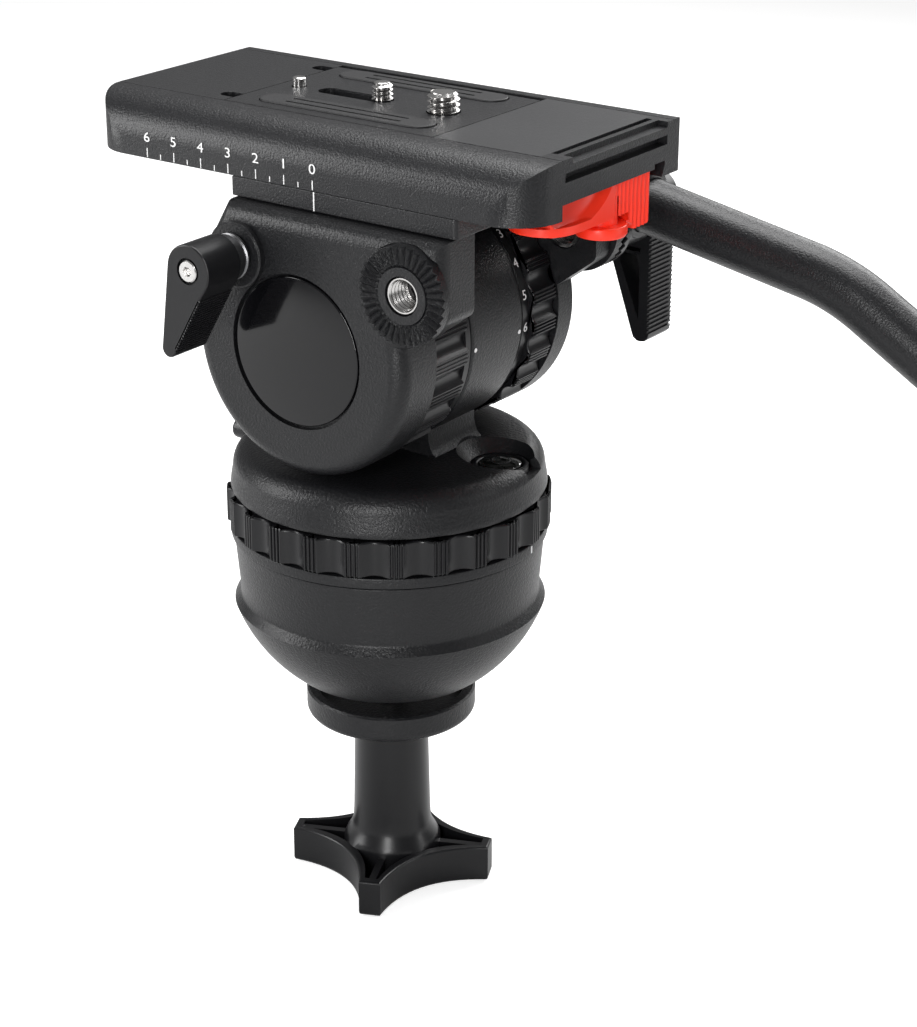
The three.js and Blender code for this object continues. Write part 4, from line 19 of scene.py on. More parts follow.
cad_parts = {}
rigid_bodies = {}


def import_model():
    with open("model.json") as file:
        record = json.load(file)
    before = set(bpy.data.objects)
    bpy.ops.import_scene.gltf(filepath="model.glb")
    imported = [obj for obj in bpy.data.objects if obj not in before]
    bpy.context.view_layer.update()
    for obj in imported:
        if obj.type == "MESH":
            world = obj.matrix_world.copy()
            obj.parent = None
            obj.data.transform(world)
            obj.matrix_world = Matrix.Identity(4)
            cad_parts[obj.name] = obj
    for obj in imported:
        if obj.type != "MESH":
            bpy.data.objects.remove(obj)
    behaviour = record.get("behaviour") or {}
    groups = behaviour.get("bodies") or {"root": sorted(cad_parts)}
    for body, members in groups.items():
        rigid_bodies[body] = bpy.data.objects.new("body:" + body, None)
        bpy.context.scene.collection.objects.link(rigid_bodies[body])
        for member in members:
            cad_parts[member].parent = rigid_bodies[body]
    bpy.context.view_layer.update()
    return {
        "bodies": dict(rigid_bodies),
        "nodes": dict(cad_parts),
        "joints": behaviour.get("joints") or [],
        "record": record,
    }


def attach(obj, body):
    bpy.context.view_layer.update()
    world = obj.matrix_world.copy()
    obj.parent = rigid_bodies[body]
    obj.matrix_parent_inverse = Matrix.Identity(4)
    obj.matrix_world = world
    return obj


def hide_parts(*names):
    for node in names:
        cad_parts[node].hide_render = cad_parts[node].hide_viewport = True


LOG = logging.getLogger("video_head")
MM = 0.001
TURN = 2 * math.pi
# Facets round a large, a middling and a small piece.
FINE = 128
ROUND = 64
SMALL = 32
# The mean of the noise textures, the scale of the mottling and the speckles' share of roughness.
NOISE_MEAN = 0.5
CLOUD_SCALE = 45.0
SPECKLE_GLOSS = 0.25
# A digit's height as a share of the font's size.
DIGIT_SHARE = 0.7
# How far a cutting tool reaches past the face that it cuts.
OVERRUN = 2.0
# Axes that several pieces share, in X and Z, and the release lever's in X and Y.
TILT_HEIGHT = 71.3
TILT_BRAKE_AT = (-19.5, 96.5)
SLIDE_LOCK_AT = (-12.0, 102.3)
ROSETTE_AT = (38.0, 95.0)
RELEASE_PIVOT_AT = (67.5, 7.5)

Point2 = tuple[float, float]
Point3 = tuple[float, float, float]


class Axis(Enum):
    """The axis that a piece is turned about or drawn out along."""

    X = 0
    Y = 1
    Z = 2

    def place(self, u: float, v: float, w: float) -> Point3:
        """A point from section coordinates (u, v) and its place w along the axis."""
        return ((w, u, v), (u, w, v), (u, v, w))[self.value]


# ---------------------------------------------------------------- outlines


def arc(centre: Point2, radius: float, start: float, end: float, steps: int) -> list[Point2]:
    """Points on an arc.

    Args:
        centre: The arc's centre.
        radius: Its radius.
        start: The first point's angle, in degrees.
        end: The last point's angle, in degrees.
        steps: The number of chords.

    Returns:
        steps + 1 points.
    """
    angles = [math.radians(start + (end - start) * i / steps) for i in range(steps + 1)]
    return [(centre[0] + radius * math.cos(a), centre[1] + radius * math.sin(a)) for a in angles]


def circle(centre: Point2, radius: float, sides: int = ROUND) -> list[Point2]:
    """The points of a full circle."""
    return arc(centre, radius, 0, 360, sides)[:-1]


def strap(first: Point2, r1: float, second: Point2, r2: float, steps: int = 24) -> list[Point2]:
    """The outline round two circles.

    Args:
        first: The larger circle's centre.
        r1: The larger circle's radius.
        second: The smaller circle's centre.
        r2: The smaller circle's radius.
        steps: Chords on each end.

    Returns:
        A closed outline.
    """
    along = math.degrees(math.atan2(second[1] - first[1], second[0] - first[0]))
    distance = math.dist(first, second)
    spread = math.degrees(math.acos((r1 - r2) / distance))
    return (arc(first, r1, along + spread, along + 360 - spread, steps)
            + arc(second, r2, along - spread, along + spread, steps))


def rounded(corners: Sequence[tuple[float, ...]], steps: int = 8) -> list[Point2]:
    """An outline with rounded corners.

    Args:
        corners: (u, v) or (u, v, radius) for each corner.
        steps: Chords on each rounded corner.

    Returns:
        A closed outline.
    """
    outline: list[Point2] = []
    for i, corner in enumerate(corners):
        here = Vector(corner[:2])
        radius = corner[2] if len(corner) > 2 else 0.0
        if radius <= 0:
            outline.append((here.x, here.y))
            continue
        back = (Vector(corners[i - 1][:2]) - here).normalized()
        ahead = (Vector(corners[(i + 1) % len(corners)][:2]) - here).normalized()
        half = back.angle(ahead) / 2
        centre = here + (back + ahead).normalized() * (radius / math.sin(half))
        start = here + back * (radius / math.tan(half)) - centre
        end = here + ahead * (radius / math.tan(half)) - centre
        swing = math.atan2(start.x * end.y - start.y * end.x, start.dot(end))
        base = math.atan2(start.y, start.x)
        for k in range(steps + 1):
            angle = base + swing * k / steps
            outline.append((centre.x + radius * math.cos(angle),
                            centre.y + radius * math.sin(angle)))
    return outline


def curve(start: Point2, control: Point2, end: Point2, steps: int) -> list[Point2]:
    """Points on a quadratic curve.

    Args:
        start: Its first point.
        control: The point that it is drawn towards.
        end: Its last point.
        steps: The number of chords.

    Returns:
        steps + 1 points.
    """
    points: list[Point2] = []
    for k in range(steps + 1):
        t = k / steps
        shares = ((1 - t) ** 2, 2 * t * (1 - t), t ** 2)
        points.append((sum(share * spot[0] for share, spot in zip(shares, (start, control, end))),
                       sum(share * spot[1] for share, spot in zip(shares, (start, control, end)))))
    return points


def inset(outline: Sequence[Point2], depth: float) -> list[Point2]:
    """An outline moved inwards, with mitred corners.

    Args:
        outline: A closed outline.
        depth: How far each edge moves.

    Returns:
        As many points as the outline has.
    """
    count = len(outline)
    area = sum(outline[i - 1][0] * outline[i][1] - outline[i][0] * outline[i - 1][1]
               for i in range(count))
    side = 1 if area > 0 else -1
    moved = []
    for i in range(count):
        here = Vector(outline[i])
        before = (here - Vector(outline[i - 1])).normalized()
        after = (Vector(outline[(i + 1) % count]) - here).normalized()
        n1 = Vector((-before.y, before.x)) * side
        n2 = Vector((-after.y, after.x)) * side
        step = (n1 + n2) / max(1 + n1.dot(n2), 0.2)
        moved.append((here.x + step.x * depth, here.y + step.y * depth))
    return moved


@dataclass(frozen=True)
class Fluting:
    """The grip round a ring: hollow flutes between groups of fine ribs."""

    radius: float
    count: int
    depth: float
    rib_share: float
    ribs: int = 3
    rib_depth: float = 0.55
    phase: float = 0.0

    def outline(self) -> list[Point2]:
        """The ring's outline, with the phase in degrees at the middle of a rib group."""
        pitch = 360 / self.count
        rib_span = pitch * self.rib_share
        rib = rib_span / (2 * self.ribs - 1)
        points: list[Point2] = []

        def add(angle: float, drop: float) -> None:
            reach = self.radius - drop
            turn = math.radians(angle)
            points.append((reach * math.cos(turn), reach * math.sin(turn)))

        for i in range(self.count):
            start = self.phase + i * pitch - rib_span / 2
            for k in range(self.ribs):
                low = start + 2 * k * rib
                add(low, 0.18)
                add(low + rib * 0.25, 0)
                add(low + rib * 0.75, 0)
                add(low + rib, 0.18)
                if k < self.ribs - 1:
                    add(low + rib * 1.15, self.rib_depth)
                    add(low + rib * 1.85, self.rib_depth)
            flute = pitch - rib_span
            for k in range(1, 12):
                share = k / 12
                add(start + rib_span + flute * share,
                    0.18 + self.depth * math.sin(math.pi * share) ** 0.8)
        return points


# ---------------------------------------------------------------- meshes


class Solid:
    """A closed mesh under construction, in millimetres."""

    def __init__(self, points: Sequence[Point3], faces: Sequence[Sequence[int]]) -> None:
        """Makes the mesh and turns its faces outwards.

        Args:
            points: The corners.
            faces: The corner numbers of each face.
        """
        self.mesh = bpy.data.meshes.new("stock")
        self.mesh.from_pydata(points, [], faces)
        self._edit(lambda bm: bmesh.ops.recalc_face_normals(bm, faces=bm.faces))

    def _edit(self, change: Callable[[bmesh.types.BMesh], object]) -> "Solid":
        """Runs a change on the mesh as a bmesh."""
        bm = bmesh.new()
        bm.from_mesh(self.mesh)
        change(bm)
        bm.to_mesh(self.mesh)
        bm.free()
        return self

    @classmethod
    def turned(cls, profile: Sequence[Point2], axis: Axis = Axis.Z, centre: Point2 = (0, 0),
               sides: int = FINE) -> "Solid":
        """A solid of revolution.

        Args:
            profile: (radius, place along the axis) points; a ring's profile closes on itself.
            axis: The axis it is turned about.
            centre: The axis's place, in section coordinates.
            sides: Facets round the axis.

        Returns:
            The solid.
        """
        points: list[Point3] = []
        rows: list[list[int]] = []
        for radius, along in profile:
            if radius < 1e-6:
                rows.append([len(points)])
                points.append(axis.place(centre[0], centre[1], along))
                continue
            rows.append(list(range(len(points), len(points) + sides)))
            for i in range(sides):
                angle = TURN * i / sides
                points.append(axis.place(centre[0] + radius * math.cos(angle),
                                         centre[1] + radius * math.sin(angle), along))
        pairs = list(zip(rows, rows[1:]))
        if len(rows[0]) > 1 or len(rows[-1]) > 1:
            pairs.append((rows[-1], rows[0]))
        faces: list[list[int]] = []
        for a, b in pairs:
            for i in range(sides):
                j = (i + 1) % sides
                if len(a) == 1 and len(b) == 1:
                    break
                if len(a) == 1:
                    faces.append([a[0], b[i], b[j]])
                elif len(b) == 1:
                    faces.append([a[i], a[j], b[0]])
                else:
                    faces.append([a[i], a[j], b[j], b[i]])
        return cls(points, faces)

    @classmethod
    def rod(cls, radius: float, low: float, high: float, axis: Axis = Axis.Z,
            centre: Point2 = (0, 0), sides: int = ROUND, edge: float = 0.0) -> "Solid":
        """A cylinder from low to high, with chamfered ends where edge is given."""
        if edge > 0:
            profile = [(0, low), (radius - edge, low), (radius, low + edge), (radius, high - edge),
                       (radius - edge, high), (0, high)]
        else:
            profile = [(0, low), (radius, low), (radius, high), (0, high)]
        return cls.turned(profile, axis, centre, sides)

    @classmethod
    def ring(cls, inner: float, outer: float, low: float, high: float, axis: Axis = Axis.Z,
             centre: Point2 = (0, 0), sides: int = ROUND, edge: float = 0.2) -> "Solid":
        """A plain ring with chamfered outer edges."""
        return cls.turned([(inner, low), (outer - edge, low), (outer, low + edge),
                           (outer, high - edge), (outer - edge, high), (inner, high)],
                          axis, centre, sides)

    @classmethod
    def loft(cls, sections: Sequence[tuple[Sequence[Point2], float]], axis: Axis) -> "Solid":
        """A solid through outlines of as many points, each at its place along the axis."""
        points = [axis.place(u, v, w) for outline, w in sections for u, v in outline]
        count = len(sections[0][0])
        faces: list[list[int]] = [list(range(count)), list(range(len(points) - count, len(points)))]
        for k in range(len(sections) - 1):
            for i in range(count):
                j = (i + 1) % count
                faces.append([k * count + i, k * count + j,
                              (k + 1) * count + j, (k + 1) * count + i])
        return cls(points, faces)

    @classmethod
    def prism(cls, outline: Sequence[Point2], axis: Axis, low: float, high: float,
              low_edge: float = 0.0, high_edge: float = 0.0, steps: int = 4) -> "Solid":
        """A prism whose end edges are rounded.

        Args:
            outline: The section, in section coordinates.
            axis: The axis that it is drawn out along.
            low: Its low end.
            high: Its high end.
            low_edge: The rounding radius at the low end.
            high_edge: The rounding radius at the high end.
            steps: Chords on each rounding.

        Returns:
            The solid.
        """
        sections: list[tuple[Sequence[Point2], float]] = []
        quarter = math.pi / 2
        if low_edge > 0:
            for k in range(steps):
                angle = quarter * k / steps
                sections.append((inset(outline, low_edge * (1 - math.sin(angle))),
                                 low + low_edge * (1 - math.cos(angle))))
        sections.append((outline, low + low_edge))
        sections.append((outline, high - high_edge))
        if high_edge > 0:
            for k in range(1, steps + 1):
                angle = quarter * k / steps
                sections.append((inset(outline, high_edge * (1 - math.cos(angle))),
                                 high - high_edge * (1 - math.sin(angle))))
        return cls.loft(sections, axis)

    @classmethod
    def block(cls, x0: float, x1: float, y0: float, y1: float, z0: float, z1: float) -> "Solid":
        """A box between two corners."""
        return cls.prism([(x0, y0), (x1, y0), (x1, y1), (x0, y1)], Axis.Z, z0, z1)

    @classmethod
    def swept(cls, path: Sequence[Vector], radius: float, sides: int) -> "Solid":
        """A round bar along a path in a plane of constant Y."""
        points: list[Point3] = []
        for i, here in enumerate(path):
            ahead = (path[min(i + 1, len(path) - 1)] - path[max(i - 1, 0)]).normalized()
            across = Vector((0, 1, 0))
            up = ahead.cross(across)
            for k in range(sides):
                angle = TURN * k / sides
                spot = here + (across * math.cos(angle) + up * math.sin(angle)) * radius
                points.append(tuple(spot))
        faces: list[list[int]] = [list(range(sides)), list(range(len(points) - sides, len(points)))]
        for k in range(len(path) - 1):
            for i in range(sides):
                j = (i + 1) % sides
                faces.append([k * sides + i, k * sides + j,
                              (k + 1) * sides + j, (k + 1) * sides + i])
        return cls(points, faces)

    def transformed(self, matrix: Matrix) -> "Solid":
        """The mesh under a matrix."""
        self.mesh.transform(matrix)
        return self

    def turned_about(self, angle: float, axis: Axis) -> "Solid":
        """The mesh turned by an angle in degrees about an axis through the origin."""
        return self.transformed(Matrix.Rotation(math.radians(angle), 4, axis.name))

    def moved(self, x: float, y: float, z: float) -> "Solid":
        """The mesh moved."""
        return self.transformed(Matrix.Translation((x, y, z)))

    def _combine(self, operation: str, tools: Iterable["Solid"]) -> "Solid":
        """Runs one boolean operation with each tool in turn."""
        scene = bpy.context.scene.collection.objects
        host = bpy.data.objects.new("stock", self.mesh)
        scene.link(host)
        others = []
        for tool in tools:
            other = bpy.data.objects.new("tool", tool.mesh)
            scene.link(other)
            others.append(other)
            step = host.modifiers.new("shape", "BOOLEAN")
            step.operation = operation
            step.solver = "MANIFOLD"
            step.object = other
        bpy.context.view_layer.update()
        self.mesh = _evaluated(host)
        for thing in (host, *others):
            bpy.data.objects.remove(thing)
        return self

    def cut(self, *tools: "Solid") -> "Solid":
        """The mesh less the tools."""
        return self._combine("DIFFERENCE", tools)

    def join(self, *others: "Solid") -> "Solid":
        """The mesh with others joined on."""
        return self._combine("UNION", others)

    def keep(self, *others: "Solid") -> "Solid":
        """Only what the mesh shares with the others."""
        return self._combine("INTERSECT", others)

    def eased(self, width: float, segments: int = 2, limit: float = 35.0) -> "Solid":
        """The mesh with its sharp edges rounded.

        Args:
            width: How far each rounding reaches.
            segments: Chords on each rounding.
            limit: The least angle of an edge that is rounded, in degrees.

        Returns:
            The mesh.
        """
        def clean(bm: bmesh.types.BMesh) -> None:
            bmesh.ops.remove_doubles(bm, verts=bm.verts, dist=0.01)
            bmesh.ops.dissolve_degenerate(bm, edges=bm.edges, dist=0.01)
            bmesh.ops.dissolve_limit(bm, angle_limit=math.radians(0.4), verts=bm.verts,
                                     edges=bm.edges)

        self._edit(clean)
        host = bpy.data.objects.new("stock", self.mesh)
        bpy.context.scene.collection.objects.link(host)
        step = host.modifiers.new("edges", "BEVEL")
        step.width = width
        step.segments = segments
        step.limit_method = "ANGLE"
        step.angle_limit = math.radians(limit)
        bpy.context.view_layer.update()
        self.mesh = _evaluated(host)
        bpy.data.objects.remove(host)
        return self

    def piece(self, name: str, finish: "Finish", body: str, *nodes: str,
              smooth: float = 38.0) -> bpy.types.Object:
        """Turns the mesh into a piece of the head.

        Args:
            name: The piece's name.
            finish: What it is made of.
            body: The CAD body that it rides on.
            *nodes: The CAD nodes that it stands for.
            smooth: The largest angle that is shaded smooth, in degrees.

        Returns:
            The piece.
        """
        mesh = self.mesh
        mesh.name = name
        mesh.transform(Matrix.Scale(MM, 4))
        mesh.shade_smooth()
        mesh.set_sharp_from_angle(angle=math.radians(smooth))
        piece = bpy.data.objects.new(name, mesh)
        bpy.context.scene.collection.objects.link(piece)
        step = piece.modifiers.new("shading", "WEIGHTED_NORMAL")
        step.keep_sharp = True
        bpy.context.view_layer.update()
        smoothed = _evaluated(piece)
        piece.modifiers.clear()
        piece.data = smoothed
        smoothed.name = name
        smoothed.materials.clear()
        smoothed.materials.append(finish.material())
        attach(piece, body)
        if nodes:
            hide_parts(*nodes)
        LOG.info("%s: %d faces", name, len(smoothed.polygons))
        return piece


def _evaluated(host: bpy.types.Object) -> bpy.types.Mesh:
    """A new mesh with an object's modifiers applied."""
    view = bpy.context.evaluated_depsgraph_get()
    return bpy.data.meshes.new_from_object(host.evaluated_get(view))


# ---------------------------------------------------------------- finishes


class Signal:
    """A shader socket that takes part in Python arithmetic."""

    def __init__(self, sheet: "NodeSheet", socket: bpy.types.NodeSocket) -> None:
        """Holds a socket and the sheet that it is on."""
        self.sheet = sheet
        self.socket = socket

    def _maths(self, operation: str, other: "Number") -> "Signal":
        """A Math node on this signal and another number."""
        return self.sheet.node("ShaderNodeMath", {"operation": operation}, {0: self, 1: other})

    def __add__(self, other: "Number") -> "Signal":
        """self + other."""
        return self._maths("ADD", other)

    def __sub__(self, other: "Number") -> "Signal":
        """self - other."""
        return self._maths("SUBTRACT", other)

    def __mul__(self, other: "Number") -> "Signal":
        """self * other."""
        return self._maths("MULTIPLY", other)


Number = Signal | float


class NodeSheet:
    """One material's or world's nodes."""

    def __init__(self, tree: bpy.types.NodeTree) -> None:
        """Clears the tree."""
        self.tree = tree
        tree.nodes.clear()

    def node(self, kind: str, settings: dict[str, object] | None = None,
             sockets: dict[int | str, object] | None = None, output: int | str = 0) -> Signal:
        """Adds a node.

        Args:
            kind: The node's type.
            settings: Its properties.
            sockets: A value or a Signal for each input, by name or number.
            output: The output that is returned.

        Returns:
            The output, or the first input where the node has no output.
        """
        made = self.tree.nodes.new(kind)
        for key, value in (settings or {}).items():
            setattr(made, key, value)
        for key, value in (sockets or {}).items():
            if isinstance(value, Signal):
                self.tree.links.new(value.socket, made.inputs[key])
            else:
                made.inputs[key].default_value = value
        if not made.outputs:
            return Signal(self, made.inputs[0])
        return Signal(self, made.outputs[output])


@dataclass(frozen=True)
class Finish:
    """A surface finish: its colour, gloss and grain."""

    name: str
    slot: str
    colour: Point3
    roughness: float
    metallic: float = 0.0
    specular: float = 0.5
    coat: float = 0.0
    coat_roughness: float = 0.1
    grain_size: float = 0.4
    grain_depth: float = 0.0
    speckle: float = 0.0
    mottle: float = 0.1
    smear: float = 0.05

    def material(self) -> bpy.types.Material:
        """The finish's material, made on first use."""
        found = bpy.data.materials.get(self.name)
        if found:
            return found
        made = bpy.data.materials.new(self.name)
        made.use_nodes = True
        made.diffuse_color = (*self.colour, 1)
        self._wire(NodeSheet(made.node_tree))
        return made

    def _wire(self, sheet: NodeSheet) -> None:
        """Builds the nodes: mottled colour, speckled roughness and a fine raised grain."""
        place = sheet.node("ShaderNodeTexCoord", output="Object")
        grain, cloud = (
            sheet.node("ShaderNodeTexNoise", {"noise_dimensions": "3D"},
                       {"Vector": place, "Scale": scale, "Detail": detail, "Roughness": mix})
            for scale, detail, mix in ((1 / (self.grain_size * MM), 2.0, 0.55),
                                       (CLOUD_SCALE, 3.0, 0.6)))
        drift, fleck = cloud - NOISE_MEAN, grain - NOISE_MEAN
        shade = drift * self.mottle + fleck * self.speckle + 1.0
        colour = sheet.node("ShaderNodeVectorMath", {"operation": "SCALE"},
                            {"Vector": self.colour, "Scale": shade}, "Vector")
        rough = drift * self.smear + fleck * (self.speckle * SPECKLE_GLOSS) + self.roughness
        sockets: dict[int | str, object] = {
            "Base Color": colour, "Roughness": rough, "Metallic": self.metallic,
            "Specular IOR Level": self.specular, "Coat Weight": self.coat,
            "Coat Roughness": self.coat_roughness}
        if self.grain_depth > 0:
            sockets["Normal"] = sheet.node("ShaderNodeBump", {}, {
                "Height": grain, "Strength": 1.0, "Distance": self.grain_depth * MM})
        shader = sheet.node("ShaderNodeBsdfPrincipled", {}, sockets)
        sheet.node("ShaderNodeOutputMaterial", {}, {"Surface": shader})


CAST = Finish("cast_powder_coat", "cast_black", (0.0075, 0.0077, 0.0088), 0.38, specular=0.36,
              grain_size=0.75, grain_depth=0.2, speckle=0.9, mottle=0.2, smear=0.06)
ANODISED = Finish("black_anodising", "anodised_black", (0.009, 0.0092, 0.0105), 0.36, specular=0.42,
                  grain_size=0.6, grain_depth=0.14, speckle=0.9, mottle=0.12, smear=0.05)
# Painted sheen: a lighter, glossier copy of the black anodising, for the thin sheet on the
# carriage's rear deck top.
PAINTED_DECK_SHEEN = Finish("satin_deck", "anodised_black", (0.024, 0.0243, 0.026), 0.38, specular=0.6,
               grain_size=0.6, grain_depth=0.05, speckle=0.4, mottle=0.08, smear=0.04)
MOULDED = Finish("satin_moulding", "moulded_black", (0.007, 0.007, 0.008), 0.30, specular=0.35,
                 grain_size=0.3, grain_depth=0.008, speckle=0.2, mottle=0.2, smear=0.06)
RUBBER = Finish("matt_rubber", "black_rubber", (0.012, 0.012, 0.013), 0.5, specular=0.4,
                grain_size=0.25, grain_depth=0.012, speckle=0.3, mottle=0.2, smear=0.06)
STEEL = Finish("turned_steel", "bright_steel", (0.62, 0.61, 0.6), 0.2, metallic=1.0,
               grain_size=0.5, grain_depth=0.004, speckle=0.15, mottle=0.1, smear=0.08)
DARK_STEEL = Finish("oiled_steel", "dark_steel", (0.16, 0.16, 0.165), 0.34, metallic=1.0,
                    grain_size=0.5, grain_depth=0.005, speckle=0.2, mottle=0.2, smear=0.08)
GLOSS = Finish("domed_gloss", "gloss_black", (0.003, 0.003, 0.0038), 0.12, specular=0.28, coat=0.25,
               coat_roughness=0.05, grain_size=4.0, mottle=0.1, smear=0.01)
RED = Finish("red_moulding", "red_plastic", (0.95, 0.035, 0.012), 0.34, specular=0.45,
             grain_size=0.4, grain_depth=0.006, speckle=0.06, mottle=0.06, smear=0.06)
VIAL = Finish("vial_glass", "level_vial", (0.008, 0.009, 0.008), 0.05, specular=0.6, coat=1.0,
              coat_roughness=0.02, grain_size=3.0, mottle=0.2, smear=0.01)
LINING = Finish("lining_board", "friction_lining", (0.11, 0.07, 0.045), 0.8,
                grain_size=0.6, grain_depth=0.02, speckle=0.5, mottle=0.3)
WHITE = Finish("white_print", "moulded_black", (0.8, 0.8, 0.8), 0.5, grain_size=0.3, speckle=0.06,
               mottle=0.05)


def flat_letters(text: str, height: float) -> Solid:
    """Printed characters, lying in X and Y with their middle at the origin.

    Args:
        text: What they say.
        height: The height of a digit.

    Returns:
        The characters as one thin mesh.
    """
    letters = bpy.data.curves.new("print", "FONT")
    letters.body = text
    letters.align_x = "CENTER"
    letters.align_y = "CENTER"
    letters.size = height / DIGIT_SHARE
    letters.extrude = 0.02
    letters.resolution_u = 4
    host = bpy.data.objects.new("print", letters)
    bpy.context.scene.collection.objects.link(host)
    bpy.context.view_layer.update()
    print_mesh = _evaluated(host)
    bpy.data.objects.remove(host)
    made = Solid([], [])
    made.mesh = print_mesh
    return made


def merged(pieces: Sequence[Solid]) -> Solid:
    """Several separate solids as one mesh."""
    bm = bmesh.new()
    for one in pieces:
        bm.from_mesh(one.mesh)
    whole = Solid([], [])
    bm.to_mesh(whole.mesh)
    bm.free()
    return whole


def dress(frame: dict, names: Iterable[str], finish: Finish) -> None:
    """Gives CAD nodes that stay as they are a finish."""
    for name in names:
        node = frame["nodes"][name]
        node.data.materials.clear()
        node.data.materials.append(finish.material())


# ---------------------------------------------------------------- base


@dataclass
class LevellingBase:
    """Levelling ball, index ring and pan drag ring."""

    ball_radius: float = 50.0
    flat_radius: float = 30.0
    flat_height: float = -40.0
    skirt_radius: float = 46.5
    skirt_top: float = 4.4
    skirt_bottom: float = -17.0
    stud_bore: float = 6.3
    web_bottom: float = -22.0
    hollow_radius: float = 34.0
    hollow_floor: float = -8.0
    boss_radius: float = 8.3
    boss_floor: float = -16.0
    index_radius: float = 47.5
    index_bore: float = 31.3
    index_low: float = 4.7
    index_high: float = 8.0
    mark_angle: float = 7.8
    ring_low: float = 8.3
    ring_high: float = 19.0
    ring_bore: float = 31.6
    fluting: Fluting = Fluting(48.5, 24, 1.9, 0.36, ribs=4, phase=9.3)

    def build(self, frame: dict) -> None:
        """Builds the pieces and dresses the hidden nodes."""
        low_angle = math.degrees(math.asin(self.flat_height / self.ball_radius))
        high_angle = math.degrees(math.asin(self.skirt_bottom / self.ball_radius))
        sphere = arc((0, 0), self.ball_radius, low_angle, high_angle, 24)
        top = self.skirt_top
        Solid.turned([
            (0, self.web_bottom), (self.stud_bore, self.web_bottom),
            (self.stud_bore, self.flat_height + 0.6), (self.stud_bore + 0.6, self.flat_height),
            (self.flat_radius - 0.8, self.flat_height), *sphere, (45.4, -14.7), (45.0, -14),
            (self.skirt_radius, top - 0.9), (self.skirt_radius - 0.1, top - 0.3),
            (self.skirt_radius - 0.5, top), (self.hollow_radius, top),
            (self.hollow_radius, self.hollow_floor), (self.boss_radius, self.hollow_floor),
            (self.boss_radius, self.boss_floor), (0, self.boss_floor),
            ]).piece("levelling_half_ball", CAST, "base", "half_ball")
        outer = self.index_radius
        ring = Solid.turned([
            (self.index_bore, self.index_low), (outer - 0.5, self.index_low),
            (outer - 0.12, self.index_low + 0.15), (outer, self.index_low + 0.5),
            (outer, self.index_high - 0.5), (outer - 0.12, self.index_high - 0.15),
            (outer - 0.5, self.index_high), (self.index_bore, self.index_high)])
        ring.piece("index_ring", CAST, "base", "pan_index_ring")
        middle = (self.index_low + self.index_high) / 2
        mark = Solid.block(outer - 0.2, outer + 0.06, -0.35, 0.35, middle - 1.1, middle + 1.1)
        mark.turned_about(self.mark_angle, Axis.Z).piece("pan_index_mark", WHITE, "base")
        grip = Solid.prism(self.fluting.outline(), Axis.Z, self.ring_low, self.ring_high,
                           0.5, 0.7, 3)
        grip.cut(Solid.rod(self.ring_bore, self.ring_low - OVERRUN, self.ring_high + OVERRUN))
        grip.piece("pan_drag_grip", MOULDED, "pan_drag", "pan_drag_ring", smooth=30)
        dress(frame, ["pan_bearing_lower", "pan_bearing_upper", "pan_axle_nut"], STEEL)
        dress(frame, ["pan_axle"], DARK_STEEL)
        dress(frame, ["pan_drag_disc"], LINING)


